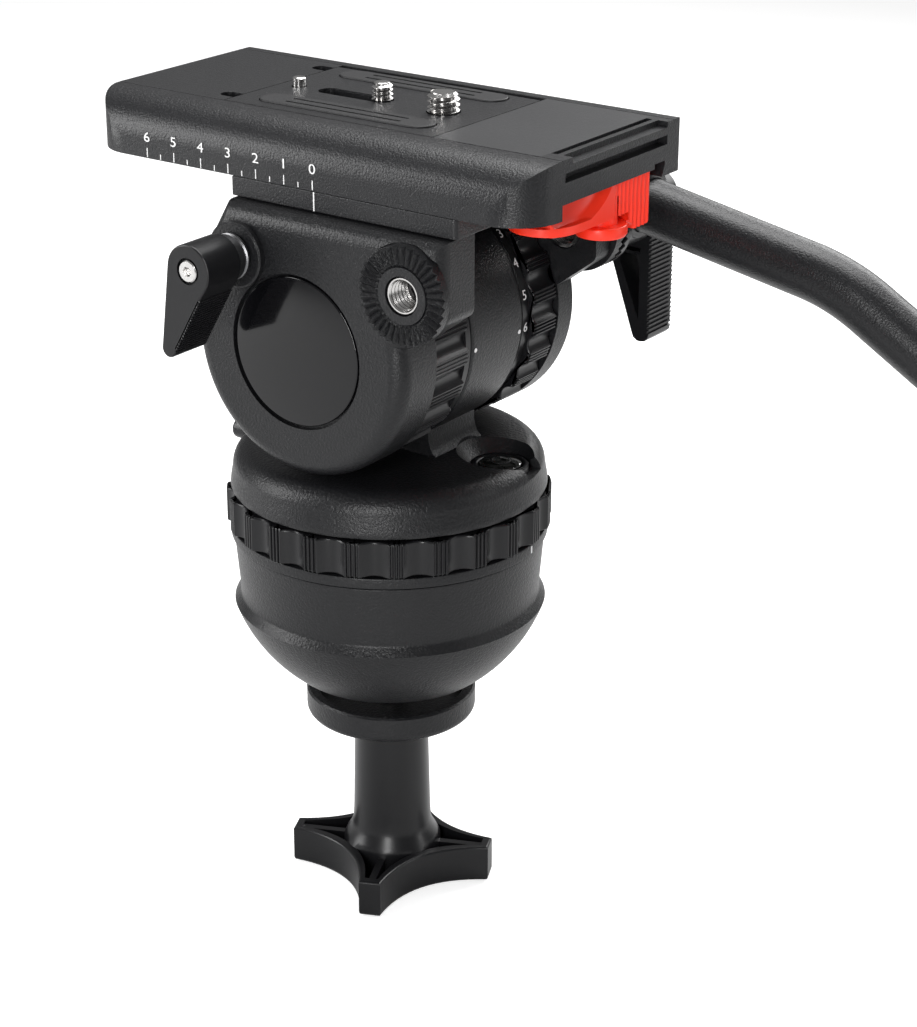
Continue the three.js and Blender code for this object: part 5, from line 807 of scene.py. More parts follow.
@dataclass
class TieDown:
    """Stud, cup and star knob under the bowl."""

    stud_radius: float = 6.0
    stud_top: float = -22.3
    stud_end: float = -106.0
    thread_pitch: float = 1.75
    cup_radius: float = 26.0
    cup_top: float = -47.5
    cup_bottom: float = -56.0
    knob_top: float = -56.3
    knob_rim: float = -101.0
    knob_bottom: float = -113.2
    tip_reach: float = 31.5
    tip_half: float = 3.4
    waist: float = 10.4
    turn: float = -66.0
    wall: float = 2.6

    def star(self, shrink: float) -> list[Point2]:
        """The knob's four-pointed outline, drawn in by shrink."""
        reach = self.tip_reach - shrink
        half = self.tip_half - shrink / 2
        waist = self.waist - shrink
        points: list[Point2] = []
        for i in range(4):
            angle = math.radians(self.turn + 90 * i)
            bend = math.radians(self.turn + 90 * i + 45)
            after = math.radians(self.turn + 90 * (i + 1))
            start = (reach * math.cos(angle) - half * math.sin(angle),
                     reach * math.sin(angle) + half * math.cos(angle))
            control = (waist * math.cos(bend), waist * math.sin(bend))
            end = (reach * math.cos(after) + half * math.sin(after),
                   reach * math.sin(after) - half * math.cos(after))
            points += curve(start, control, end, 16)
        return points

    def build(self, frame: dict) -> None:
        """Builds the stud, cup and knob."""
        profile: list[Point2] = [(0, self.stud_end), (self.stud_radius - 0.9, self.stud_end)]
        along = self.stud_end + 0.9
        while along < self.stud_top - self.thread_pitch:
            profile += [(self.stud_radius, along), (self.stud_radius, along + 0.25),
                        (self.stud_radius - 0.85, along + self.thread_pitch / 2 + 0.1)]
            along += self.thread_pitch
        profile += [(self.stud_radius, along), (self.stud_radius - 0.6, self.stud_top),
                    (0, self.stud_top)]
        Solid.turned(profile, sides=SMALL).piece("tie_down_rod", STEEL, "base", "tie_down_stud")
        outer = self.cup_radius
        bore = self.stud_radius + 0.3
        Solid.turned([
            (bore, self.cup_bottom), *arc((outer - 2.5, self.cup_bottom + 2.5), 2.5, -90, 0, 6),
            (outer, self.cup_top - 0.6), (outer - 0.6, self.cup_top), (outer - 2.9, self.cup_top),
            (outer - 3.5, self.cup_top - 0.6), (outer - 3.5, self.cup_bottom + 4),
            (bore, self.cup_bottom + 4)], sides=FINE).piece(
                "tie_down_bowl_cup", CAST, "tie_down_cup", "tie_down_cup")
        floor = self.knob_bottom + self.wall
        star = Solid.prism(self.star(0), Axis.Z, self.knob_bottom, self.knob_rim, 1.6, 0.8, 4)
        star.cut(Solid.prism(self.star(self.wall), Axis.Z, floor, self.knob_rim + OVERRUN))
        hub = Solid.turned([
            (0, floor - 1), (15.2, floor - 1), (15.2, self.knob_rim), (14.2, -99), (12.9, -97),
            (12.2, -94.5), (12.0, -90), (11.3, self.knob_top - 1.2), (10.3, self.knob_top),
            (0, self.knob_top)], sides=ROUND)
        ribs = []
        for i in range(2):
            rib = Solid.block(-self.tip_reach + 1.2, self.tip_reach - 1.2, -1.1, 1.1, floor - 1,
                              self.knob_rim - 1)
            ribs.append(rib.turned_about(self.turn + 90 * i, Axis.Z))
        star.join(hub, *ribs)
        star.cut(Solid.rod(bore, floor, self.knob_top + OVERRUN, sides=SMALL),
                 Solid.rod(9.3, -80.3, self.knob_top + OVERRUN, sides=SMALL))
        star.eased(0.35).piece("tie_down_star", MOULDED, "tie_down_knob", "tie_down_knob")
        dress(frame, ["tie_down_nut"], STEEL)


# ---------------------------------------------------------------- pan housing


@dataclass
class PanHousing:
    """Dome, neck and tilt barrel in one casting, with the bubble level and the pan brake."""

    tilt_height: float = TILT_HEIGHT
    dome_radius: float = 47.2
    wall_radius: float = 46.4
    dome_bottom: float = 19.7
    shoulder_start: float = 26.0
    shoulder: Point2 = (6.4, 6.5)
    crown: float = 33.7
    socket_radius: float = 31.0
    socket_bottom: float = 0.6
    axle_bore: float = 14.2
    barrel_radius: float = 35.8
    barrel_near: float = -8.0
    barrel_far: float = 16.9
    hub_radius: float = 23.7
    hub_near: float = -26.4
    hub_far: float = 33.6
    bore: float = 20.0
    level: Point2 = (34.0, 9.0)
    level_floor: float = 27.6
    level_radius: float = 9.0
    brake_height: float = 26.8
    brake_y: float = 5.0
    brake_face: float = -54.7
    brake_back: float = -49.1

    def dome(self) -> Solid:
        """The dome with a rounded shoulder over an upright wall."""
        inwards, rise = self.shoulder
        turns = [math.radians(a) for a in range(0, 91, 6)]
        shoulder = [(self.wall_radius - inwards * (1 - math.cos(a)),
                     self.shoulder_start + rise * math.sin(a)) for a in turns]
        return Solid.turned([
            (self.axle_bore, self.socket_bottom), (self.socket_radius, self.socket_bottom),
            (self.socket_radius, self.dome_bottom), (self.dome_radius - 0.8, self.dome_bottom),
            (self.dome_radius - 0.2, self.dome_bottom + 0.25),
            (self.dome_radius, self.dome_bottom + 0.9),
            (self.dome_radius - 0.1, self.dome_bottom + 2.2), *shoulder, (33, 33.1),
            (24, self.crown), (0, self.crown), (0, 27), (self.axle_bore, 27)], sides=FINE)

    def neck(self) -> Solid:
        """The waisted web between dome and barrel."""
        right = [(24.0, 30.0), *curve((24.0, 32.5), (18.0, 35.2), (20.0, 44.5), 12)]
        outline = right + [(-u, v) for u, v in reversed(right)]
        return Solid.prism(outline, Axis.Y, self.barrel_near + 1, self.barrel_far - 1)

    def build(self) -> None:
        """Builds the housing, the level and the brake lever."""
        centre = (0.0, self.tilt_height)
        near, far, radius = self.barrel_near, self.barrel_far, self.barrel_radius
        barrel = Solid.turned([
            (0, near), (radius - 1.1, near), (radius - 0.5, near + 0.15), (radius, near + 1),
            (radius, far - 1), (radius - 0.5, far - 0.15), (radius - 1.1, far), (0, far)], Axis.Y,
            centre)
        hub = Solid.rod(self.hub_radius, self.hub_near, self.hub_far, Axis.Y, centre)
        body = self.dome().join(self.neck(), barrel, hub)
        floor, radius = self.level_floor, self.level_radius
        bowl = Solid.turned([(0, floor), (radius, floor), (radius, floor + 2),
                             (radius + 4, self.crown), (radius + 4, self.crown + OVERRUN),
                             (0, self.crown + OVERRUN)], centre=self.level)
        outwards = self.dome_radius / math.hypot(*self.level)
        mouth = Solid.prism(strap(self.level, 5.4,
                                  (self.level[0] * outwards, self.level[1] * outwards), 5.399),
                            Axis.Z, floor, 35.0)
        body.cut(Solid.rod(self.bore, self.hub_near - OVERRUN, self.hub_far + OVERRUN,
                           Axis.Y, centre), bowl, mouth,
                 Solid.rod(3.5, -60, -34.8, Axis.X, (self.brake_y, self.brake_height), SMALL))
        body.eased(0.45).piece("pan_housing_casting", CAST, "pan_unit", "pan_housing")
        self.build_level()
        self.build_brake()

    def build_level(self) -> None:
        """Builds the bezel, the domed vial and its bubble ring."""
        floor = self.level_floor + 0.3
        bezel = Solid.turned([
            (6.6, floor), (8.3, floor), (8.3, floor + 1.5), (8.0, floor + 1.9), (7.4, floor + 2.0),
            (6.9, floor + 1.8), (6.6, floor + 1.4)], centre=self.level, sides=ROUND)
        bezel.piece("level_bezel", MOULDED, "pan_unit", "bubble_level_bezel")
        vial = Solid.turned([
            (0, floor), (6.3, floor), (6.3, floor + 1.7), (6.0, floor + 2.2), (4.8, floor + 2.55),
            (2.5, floor + 2.75), (0, floor + 2.8)], centre=self.level, sides=ROUND)
        vial.piece("level_glass", VIAL, "pan_unit", "bubble_level_vial")
        circle_print = Solid.turned([(2.5, floor + 2.7), (3.0, floor + 2.68), (3.0, floor + 2.74),
                                     (2.5, floor + 2.78)], centre=self.level, sides=ROUND)
        circle_print.piece("level_circle", DARK_STEEL, "pan_unit")

    def build_brake(self) -> None:
        """Builds the pan brake's lever and shaft at the front of the dome."""
        lever = Solid.prism(strap((self.brake_y, self.brake_height), 6.0,
                                  (self.brake_y - 10, self.brake_height - 1), 3.2), Axis.X,
                            self.brake_face, self.brake_back, 1.2, 0.6, 4)
        lever.cut(Solid.rod(3.5, self.brake_back - 2.8, self.brake_back + OVERRUN, Axis.X,
                            (self.brake_y, self.brake_height), SMALL))
        lever.piece("pan_brake_grip", MOULDED, "pan_brake", "pan_brake_lever")
        Solid.rod(3.2, self.brake_back - 2.5, self.brake_back + 14, Axis.X,
                  (self.brake_y, self.brake_height), SMALL, 0.4).piece(
                      "pan_brake_spindle", STEEL, "pan_brake", "pan_brake_shaft")


# ---------------------------------------------------------------- tilt axis


@dataclass
class TiltDrum:
    """The two grip rings beside the barrel and what turns inside the hub."""

    tilt_height: float = TILT_HEIGHT
    bore: float = 24.3
    near_low: float = -26.4
    near_high: float = -8.3
    near_radius: float = 36.4
    band_near: float = 17.2
    band_far: float = 22.3
    band_radius: float = 34.4
    far_high: float = 33.3
    near_fluting: Fluting = Fluting(36.4, 22, 1.6, 0.42, ribs=4, rib_depth=0.4, phase=-4.5)
    far_fluting: Fluting = Fluting(37.0, 24, 1.6, 0.4, ribs=4, phase=8.9)
    digit_height: float = 2.9
    digit_start: float = 91.5
    digit_pitch: float = 16.1
    digit_row: float = 3.5
    dots_at: tuple[Point2, ...] = ((-3.6, -6.4), (-4.2, 15.4))
    dot_radius: float = 0.65
    barrel_face: float = 35.75

    def build(self, frame: dict) -> None:
        """Builds the rings with their marks and dresses the hidden nodes."""
        centre = (0.0, self.tilt_height)
        collar = Solid.turned([
            (self.bore, self.near_high - 2.7), (self.near_radius - 0.8, self.near_high - 2.7),
            (self.near_radius - 0.8, self.near_high - 0.4),
            (self.near_radius - 1.2, self.near_high), (self.bore, self.near_high)], Axis.Y, centre)
        grip = Solid.prism(self.near_fluting.outline(), Axis.Y, self.near_low, self.near_high - 1.9,
                           0.6, 0.6, 3).moved(0, 0, self.tilt_height)
        grip.cut(Solid.rod(self.bore, self.near_low - OVERRUN, self.near_high + OVERRUN,
                           Axis.Y, centre))
        grip.join(collar).piece("counterbalance_grip", MOULDED, "counterbalance",
                                "counterbalance_ring", smooth=30)
        far = Solid.prism(self.far_fluting.outline(), Axis.Y, self.band_far, self.far_high, 0.6,
                          0.6, 3).moved(0, 0, self.tilt_height)
        far.cut(Solid.rod(self.bore, self.band_near - OVERRUN, self.far_high + OVERRUN,
                          Axis.Y, centre))
        band = Solid.turned([
            (self.bore, self.band_near), (self.band_radius - 0.5, self.band_near),
            (self.band_radius, self.band_near + 0.4), (self.band_radius, self.band_near + 1.3),
            (self.band_radius - 0.3, self.band_near + 1.45),
            (self.band_radius - 0.3, self.band_near + 1.75),
            (self.band_radius, self.band_near + 1.9), (self.band_radius, self.band_far + 1),
            (self.bore, self.band_far + 1)], Axis.Y, centre)
        far.join(band).piece("tilt_drag_grip", MOULDED, "tilt_drag", "tilt_drag_ring", smooth=30)
        self.build_marks()
        dress(frame, ["tilt_bearing_near", "tilt_bearing_far"], STEEL)
        dress(frame, ["counterbalance_spring"], DARK_STEEL)
        dress(frame, ["tilt_drag_disc_1", "tilt_drag_disc_2", "tilt_drag_disc_3"], LINING)

    def on_drum(self, mark: Solid, angle: float, radius: float, y: float) -> Solid:
        """Wraps a flat mark in X and Y round the drum.

        Args:
            mark: The mark, reading along +X.
            angle: Its place, in degrees from +X towards +Z.
            radius: The drum's radius there.
            y: Its place along the drum.

        Returns:
            The mark on the drum, reading along +Y.
        """
        for corner in mark.mesh.vertices:
            around = math.radians(angle) + corner.co.y / radius
            reach = radius + corner.co.z
            corner.co = (reach * math.cos(around), y + corner.co.x,
                         self.tilt_height + reach * math.sin(around))
        return mark

    def build_marks(self) -> None:
        """Prints the numbers on the drag ring and the two dots on the barrel."""
        digits = []
        for number in range(7):
            digit = flat_letters(str(number), self.digit_height)
            digits.append(self.on_drum(digit, self.digit_start - self.digit_pitch * number,
                                       self.band_radius + 0.02, self.band_near + self.digit_row))
        merged(digits).piece("tilt_drag_numbers", WHITE, "tilt_drag")
        dots = []
        for angle, y in self.dots_at:
            dot = Solid.prism(circle((0, 0), self.dot_radius, 20), Axis.Z, -0.05, 0.05)
            dots.append(self.on_drum(dot, angle, self.barrel_face + 0.06, y))
        merged(dots).piece("barrel_dots", WHITE, "pan_unit")


@dataclass
class TiltFrame:
    """The two cheeks with badges, rosettes and axle."""

    tilt_height: float = TILT_HEIGHT
    disc_radius: float = 37.0
    top: float = 110.4
    front_top: float = -25.3
    rear: float = 49.5
    near_face: float = -42.7
    near_inner: float = -26.7
    far_inner: float = 33.9
    far_face: float = 42.7
    near_round: float = 5.0
    far_round: float = 2.0
    boss: Point2 = (-21.0, 98.0)
    boss_radius: float = 10.0
    brake: Point2 = TILT_BRAKE_AT
    badge_radius: float = 21.6
    rosette: Point2 = ROSETTE_AT
    rosette_radius: float = 13.9
    teeth: int = 36
    insert_bore: float = 5.5
    screw_bore: float = 3.3
    head_bore: float = 6.3
    axle_bore: float = 9.3
    brake_bore: float = 4.3
    lock_bore: float = 3.8

    def outline(self, with_boss: bool) -> list[Point2]:
        """A cheek's outline in X and Z."""
        z = self.tilt_height
        slant = math.degrees(math.atan2(6.7, 35))
        corners = rounded([(self.front_top, self.top), (self.rear, self.top),
                           (self.rear, z + 16.7, 3.5), (35, z + 6.7)], 10)[:-1]
        if with_boss:
            across = math.degrees(math.atan2(self.boss[1] - z, self.boss[0]))
            spread = math.degrees(math.acos((self.disc_radius - self.boss_radius)
                                            / math.hypot(self.boss[0], self.boss[1] - z)))
            left = across + spread
            corners += arc((0, z), self.disc_radius, slant, left - 360, 72)
            corners += arc(self.boss, self.boss_radius, left, (left + across) / 2, 6)
        else:
            corners += arc((0, z), self.disc_radius, slant, -180 - slant, 72)
        return corners

    def build(self, frame: dict) -> None:
        """Builds every piece of the frame."""
        self.build_near_cheek()
        self.build_far_cheek()
        self.build_badges()
        self.build_rosettes()
        dress(frame, ["tilt_axle"], DARK_STEEL)
        dress(frame, ["axle_screw"], STEEL)

    def build_near_cheek(self) -> None:
        """Builds the near cheek with its brake boss."""
        centre = (0.0, self.tilt_height)
        face = self.near_face
        body = Solid.prism(self.outline(True), Axis.Y, face, self.near_inner,
                           self.near_round, 0.0, 8)
        body.join(Solid.rod(9.4, -45, face + 3, Axis.Y, self.brake, ROUND, 0.5))
        body.cut(Solid.rod(self.badge_radius + 0.9, face - OVERRUN, face + OVERRUN, Axis.Y,
                           centre, FINE),
                 Solid.rod(self.head_bore, face, face + 5.2, Axis.Y, centre, SMALL),
                 Solid.rod(self.screw_bore, face, self.near_inner + 1, Axis.Y, centre, SMALL),
                 Solid.rod(self.axle_bore, -34, self.near_inner + OVERRUN, Axis.Y, centre),
                 Solid.rod(self.rosette_radius + 0.3, face - OVERRUN, face + 1.5, Axis.Y,
                           self.rosette, FINE),
                 Solid.rod(self.insert_bore, face - OVERRUN, face + 9, Axis.Y, self.rosette, SMALL),
                 Solid.rod(self.brake_bore, -50, -32.7, Axis.Y, self.brake, SMALL))
        body.eased(0.3).piece("near_cheek_casting", CAST, "tilt_unit", "near_cheek")

    def build_far_cheek(self) -> None:
        """Builds the far cheek."""
        centre = (0.0, self.tilt_height)
        face = self.far_face
        body = Solid.prism(self.outline(False), Axis.Y, self.far_inner, face,
                           0.0, self.far_round, 6)
        body.cut(Solid.rod(self.badge_radius + 0.9, face - 1.2, face + OVERRUN, Axis.Y,
                           centre, FINE),
                 Solid.rod(self.axle_bore, self.far_inner - OVERRUN, 39, Axis.Y, centre),
                 Solid.rod(self.rosette_radius + 0.3, face - 1.5, face + OVERRUN, Axis.Y,
                           self.rosette, FINE),
                 Solid.rod(self.insert_bore, self.far_inner - OVERRUN, face + OVERRUN, Axis.Y,
                           self.rosette, SMALL),
                 Solid.rod(self.lock_bore, self.far_inner - OVERRUN, face + OVERRUN, Axis.Y,
                           SLIDE_LOCK_AT, SMALL))
        body.eased(0.3).piece("far_cheek_casting", CAST, "tilt_unit", "far_cheek")

    def build_badges(self) -> None:
        """Builds the two bare domed badges."""
        r = self.badge_radius
        for name, node, back, facing in (
                ("near_badge_dome", "near_badge", self.near_face + 1.7, -1),
                ("far_badge_dome", "far_badge", self.far_face - 0.9, 1)):
            rim = back + facing * 1.4
            crown = [(r - 0.5 * (1 - math.cos(math.radians(a))),
                      rim - facing * 0.5 * (1 - math.sin(math.radians(a))))
                     for a in range(0, 91, 15)]
            dome = [((r - 0.5) * k / 12, rim + facing * 0.9 * (1 - (k / 12) ** 2))
                    for k in range(11, 0, -1)]
            badge = Solid.turned([(0, back), (r, back), *crown, *dome, (0, rim + facing * 0.9)],
                                 Axis.Y, (0, self.tilt_height), FINE)
            badge.piece(name, GLOSS, "tilt_unit", node, smooth=50)

    def rosette_disc(self, bore: float, base: float, crest: float) -> Solid:
        """A toothed disc whose V teeth fade towards a flat centre.

        Args:
            bore: The bore's radius.
            base: Its back's place along Y.
            crest: The tooth tips' place along Y.

        Returns:
            The disc.
        """
        facing = math.copysign(1, crest - base)
        valley = crest - facing * 1.5
        flat = crest - facing * 1.1
        steps = 4 * self.teeth
        points: list[Point3] = []
        for i in range(steps):
            angle = TURN * i / steps
            height = (crest, (crest + valley) / 2, valley, (crest + valley) / 2)[i % 4]
            blunt = crest - facing * 0.12 if i % 4 == 0 else height
            rows = [(bore, base), (self.rosette_radius, base),
                    (self.rosette_radius, height - facing * 0.35),
                    (self.rosette_radius - 0.35, blunt), (8.9, flat * 0.35 + blunt * 0.65),
                    (8.1, flat - facing * 0.5), (7.9, flat), (bore, flat)]
            points += [(self.rosette[0] + r * math.cos(angle), y,
                        self.rosette[1] + r * math.sin(angle)) for r, y in rows]
        width = len(points) // steps
        faces = [[i * width + j, i * width + (j + 1) % width,
                  ((i + 1) % steps) * width + (j + 1) % width, ((i + 1) % steps) * width + j]
                 for i in range(steps) for j in range(width)]
        return Solid(points, faces)

    def build_rosettes(self) -> None:
        """Builds both rosettes and their threaded inserts."""
        near = self.rosette_disc(self.insert_bore, self.near_face + 1.2, -45.2)
        near.piece("near_rosette_teeth", CAST, "tilt_unit", "near_rosette", smooth=20)
        far = self.rosette_disc(self.insert_bore, self.far_face - 1.2, 45.9)
        far.piece("far_rosette_teeth", CAST, "tilt_unit", "far_rosette", smooth=20)
        for name, node, start, end in (("near_insert", "near_rosette_insert", -43.6, -34.2),
                                       ("far_insert", "far_rosette_insert", 44.3, 34.4)):
            facing = math.copysign(1, end - start)
            profile: list[Point2] = [(5.2, end), (5.2, start + facing * 0.3), (4.95, start),
                                     (4.6, start)]
            place = start + facing * 0.5
            while abs(end - place) > 1.6:
                profile += [(4.2, place), (4.2, place + facing * 0.25), (4.8, place + facing * 0.8),
                            (4.8, place + facing * 0.95)]
                place += facing * 1.5
            profile += [(4.2, place), (4.2, end)]
            Solid.turned(profile, Axis.Y, self.rosette, SMALL).piece(name, STEEL, "tilt_unit", node)


@dataclass
class TiltBrake:
    """The tilt brake's lever, spindle and socket screw."""

    axis_at: Point2 = TILT_BRAKE_AT
    tip_at: Point2 = (-27.6, 72.7)
    head_radius: float = 7.5
    tip_radius: float = 2.5
    face: float = -64.2
    back: float = -50.5
    ribs: int = 20

    def outline(self) -> list[Point2]:
        """The lever's teardrop with fine ribs on its rear edge."""
        plain = strap(self.axis_at, self.head_radius, self.tip_at, self.tip_radius, 24)
        along = math.atan2(self.tip_at[1] - self.axis_at[1], self.tip_at[0] - self.axis_at[0])
        distance = math.dist(self.axis_at, self.tip_at)
        spread = math.acos((self.head_radius - self.tip_radius) / distance)
        side = along + spread
        out = Vector((math.cos(side), math.sin(side)))
        start = Vector(self.tip_at) + out * self.tip_radius
        end = Vector(self.axis_at) + out * self.head_radius
        ribbed: list[Point2] = []
        for i in range(self.ribs):
            low = start.lerp(end, 0.02 + 0.8 * i / self.ribs)
            high = start.lerp(end, 0.02 + 0.8 * (i + 1) / self.ribs)
            for share, drop in ((0.0, 0.0), (0.45, 0.0), (0.6, 0.3), (0.88, 0.3)):
                spot = low.lerp(high, share) - out * drop
                ribbed.append((spot.x, spot.y))
        return plain + ribbed

    def build(self) -> None:
        """Builds the lever, spindle and screw."""
        lever = Solid.prism(self.outline(), Axis.Y, self.face, self.back, 0.5, 0.4, 3)
        floor = self.face + 1.6
        lever.cut(Solid.rod(3.8, self.face - OVERRUN, floor, Axis.Y, self.axis_at, SMALL),
                  Solid.rod(2.3, self.face, self.back + OVERRUN, Axis.Y, self.axis_at, SMALL))
        lever.piece("tilt_brake_grip", MOULDED, "tilt_brake", "tilt_brake_lever", smooth=30)
        spindle = Solid.turned([
            (2.3, -50.2), (6.2, -50.2), (6.6, -49.8), (6.6, -47.6), (6.0, -47.2), (6.0, -46.8),
            (6.6, -46.4), (6.6, -45.7), (6.2, -45.3), (4.0, -45.3), (4.0, -33.0), (0, -33.0),
            (0, -48.6), (2.3, -48.6)], Axis.Y, self.axis_at, ROUND)
        spindle.piece("tilt_brake_spindle", DARK_STEEL, "tilt_brake", "tilt_brake_shaft")
        head = floor - 1.8
        screw = Solid.turned([
            (0, head), (2.8, head), (3.1, head + 0.3), (3.1, floor - 0.3), (2.0, floor - 0.3),
            (2.0, floor + 11.7), (0, floor + 11.7)], Axis.Y, self.axis_at, SMALL)
        screw.cut(Solid.prism(circle(self.axis_at, 1.5, 6), Axis.Y, head - 1, head + 1.5))
        screw.piece("tilt_brake_socket_screw", STEEL, "tilt_brake", "tilt_brake_screw")


@dataclass
class Platform:
    """The strip with the dovetail rail under the carriage, and the slide lock."""

    front: float = -26.4
    rear: float = 50.5
    half: float = 36.7
    bottom: float = 110.7
    top: float = 116.3
    rail_top: float = 120.5
    rail_near: float = -18.0
    rail_far: float = 26.5
    rail_flare: float = 2.0
    bevel: float = 1.0
    index_x: float = 2.8
    lock_hub: Point2 = SLIDE_LOCK_AT
    lock_tip: Point2 = (-34.0, 97.3)

    def build(self) -> None:
        """Builds the strip, its index line and the slide lock lever."""
        section = [(-self.half, self.bottom), (self.half, self.bottom), (self.half, self.top),
                   (self.rail_far, self.top), (self.rail_far + self.rail_flare, self.rail_top),
                   (self.rail_near - self.rail_flare, self.rail_top), (self.rail_near, self.top),
                   (-self.half, self.top)]
        strip = Solid.prism(section, Axis.X, self.front, self.rear)
        edge = self.bevel
        strip.keep(Solid.prism([
            (self.front, -self.half), (self.rear - edge, -self.half), (self.rear, edge - self.half),
            (self.rear, self.half - edge), (self.rear - edge, self.half), (self.front, self.half)],
            Axis.Z, 100, 125))
        strip.eased(0.35, 2).piece("tilt_platform_strip", ANODISED, "tilt_unit", "tilt_platform")
        line = Solid.block(self.index_x - 0.22, self.index_x + 0.22, -self.half - 0.04,
                           -self.half + 0.3, self.bottom + 0.2, self.top - 0.1)
        line.piece("slide_index_line", WHITE, "tilt_unit")
        hub = self.lock_hub
        lever = Solid.prism(strap(hub, 7.0, self.lock_tip, 3.6), Axis.Y, 43.0, 50.0, 0.6, 1.4, 4)
        lever.join(Solid.rod(3.5, 34.2, 44.5, Axis.Y, hub, SMALL))
        lever.cut(Solid.rod(3.4, 48.6, 52, Axis.Y, hub, SMALL))
        lever.piece("slide_lock_grip", MOULDED, "slide_lock", "slide_lock_lever")


# ---------------------------------------------------------------- carriage


@dataclass
class Carriage:
    """The sliding carriage with its scale and the jaw."""

    front: float = -80.6
    rear: float = 74.2
    half: float = 37.2
    low: float = 116.6
    deck: float = 132.9
    shoulder_start: float = 122.0
    shoulder: float = 15.0
    corner: float = 14.0
    pocket_floor: float = 124.0
    pocket: tuple[float, float, float, float] = (-41.1, 32.3, -22.0, 32.7)
    jaw_near: float = 30.5
    jaw_channel: Point2 = (35.2, 7.2)
    slit: Point2 = (67.3, 69.3)
    lip: float = 71.0
    end_cut: Point2 = (-17.5, 30.0)
    window_near: float = -21.0
    window: Point2 = (126.6, 129.2)
    deck_lines: Point2 = (-22.6, 33.0)
    notch_reach: float = 3.4
    zero_x: float = 2.8

    def section(self) -> list[Point2]:
        """The carriage's section in Y and Z."""
        points: list[Point2] = [(-self.half, self.low), (-self.half, self.shoulder_start)]
        rise = self.deck - self.shoulder_start
        for k in range(1, 17):
            angle = math.pi / 2 * k / 16
            points.append((-self.half + self.shoulder * (1 - math.cos(angle)),
                           self.shoulder_start + rise * math.sin(angle)))
        points += [(self.half - 0.8, self.deck), (self.half, self.deck - 0.8), (self.half, 117.9),
                   (27.6, 117.9), (29.0, 120.8), (29.0, 122.2), (23.7, 122.2), (23.7, 120.8),
                   (-20.5, 120.8), (-18.5, self.low)]
        return points

    def build(self) -> None:
        """Builds the carriage, the jaw and the scale."""
        body = Solid.prism(self.section(), Axis.X, self.front, self.rear)
        plan = Solid.prism(rounded([
            (self.front, -self.half, self.corner), (self.rear, -self.half, self.corner),
            (self.rear, self.half, 1.2), (self.front, self.half, 1.2)], 14), Axis.Z, self.low - 3,
                           self.deck + 3)
        x0, x1, y0, y1 = self.pocket
        top = self.deck + 3
        tools = [
            Solid.block(x0, x1, y0, y1, self.pocket_floor, top),
            Solid.block(x0, x1, self.jaw_near, self.jaw_channel[0], self.pocket_floor,
                        self.pocket_floor + self.jaw_channel[1]),
            Solid.block(*self.slit, *self.end_cut, self.deck - 2.2, top),
            Solid.block(self.lip, self.rear + OVERRUN, *self.end_cut, self.deck - 1.6, top),
            Solid.block(self.rear - 3, self.rear + OVERRUN, self.window_near, self.end_cut[1],
                        *self.window),
            Solid.rod(2.3, 118, 123.8, centre=RELEASE_PIVOT_AT, sides=SMALL),
            Solid.block(55.5, self.rear + OVERRUN, -22.1, -15.9, self.low - OVERRUN, 120.8),
            *(Solid.block(self.front - 1, self.rear + 1, y, y + 0.3, self.deck - 0.3, top)
              for y in self.deck_lines)]
        for y in (y0 + 6.4, y1 - 6.4):
            ends = (x0 - self.notch_reach, y), (x0 + self.notch_reach, y)
            tools.append(Solid.prism(strap(ends[0], 2.5, ends[1], 2.499, 10), Axis.Z,
                                     self.pocket_floor, top))
        body.keep(plan).cut(*tools)
        body.eased(0.4, 2).piece("carriage_body", ANODISED, "carriage", "carriage")
        Solid.block(x0 + 0.3, x1 - 0.3, self.jaw_near, y1, 124.3, 130.9).eased(0.3).piece(
            "plate_jaw_bar", ANODISED, "jaw", "plate_jaw")
        # A thin sheet over the rear deck's top in the lighter copy of the anodising: painted sheen,
        # not a separate part.
        Solid.block(x1 + 0.1, self.slit[0] - 0.1, -21.9, 32.9, self.deck - 0.2,
                    self.deck + 0.01).piece("rear_deck_face", PAINTED_DECK_SHEEN, "carriage")
        self.build_scale()

    def build_scale(self) -> None:
        """Prints the ruled scale on the near side: whole marks with numbers, and half marks."""
        marks = []
        face = -self.half
        for k in range(13):
            x = self.zero_x - 5 * k
            high = 2.7 if k % 2 == 0 else 1.5
            marks.append(Solid.block(x - 0.16, x + 0.16, face - 0.04, face + 0.2, self.low + 0.3,
                                     self.low + 0.3 + high))
        for number in range(7):
            digit = flat_letters(str(number), 2.8).turned_about(90, Axis.X)
            digit.transformed(Matrix.Diagonal((1.25, 1, 1, 1)))
            marks.append(digit.moved(self.zero_x - 10 * number, face - 0.02, self.low + 6.0))
        merged(marks).piece("slide_scale", WHITE, "carriage")


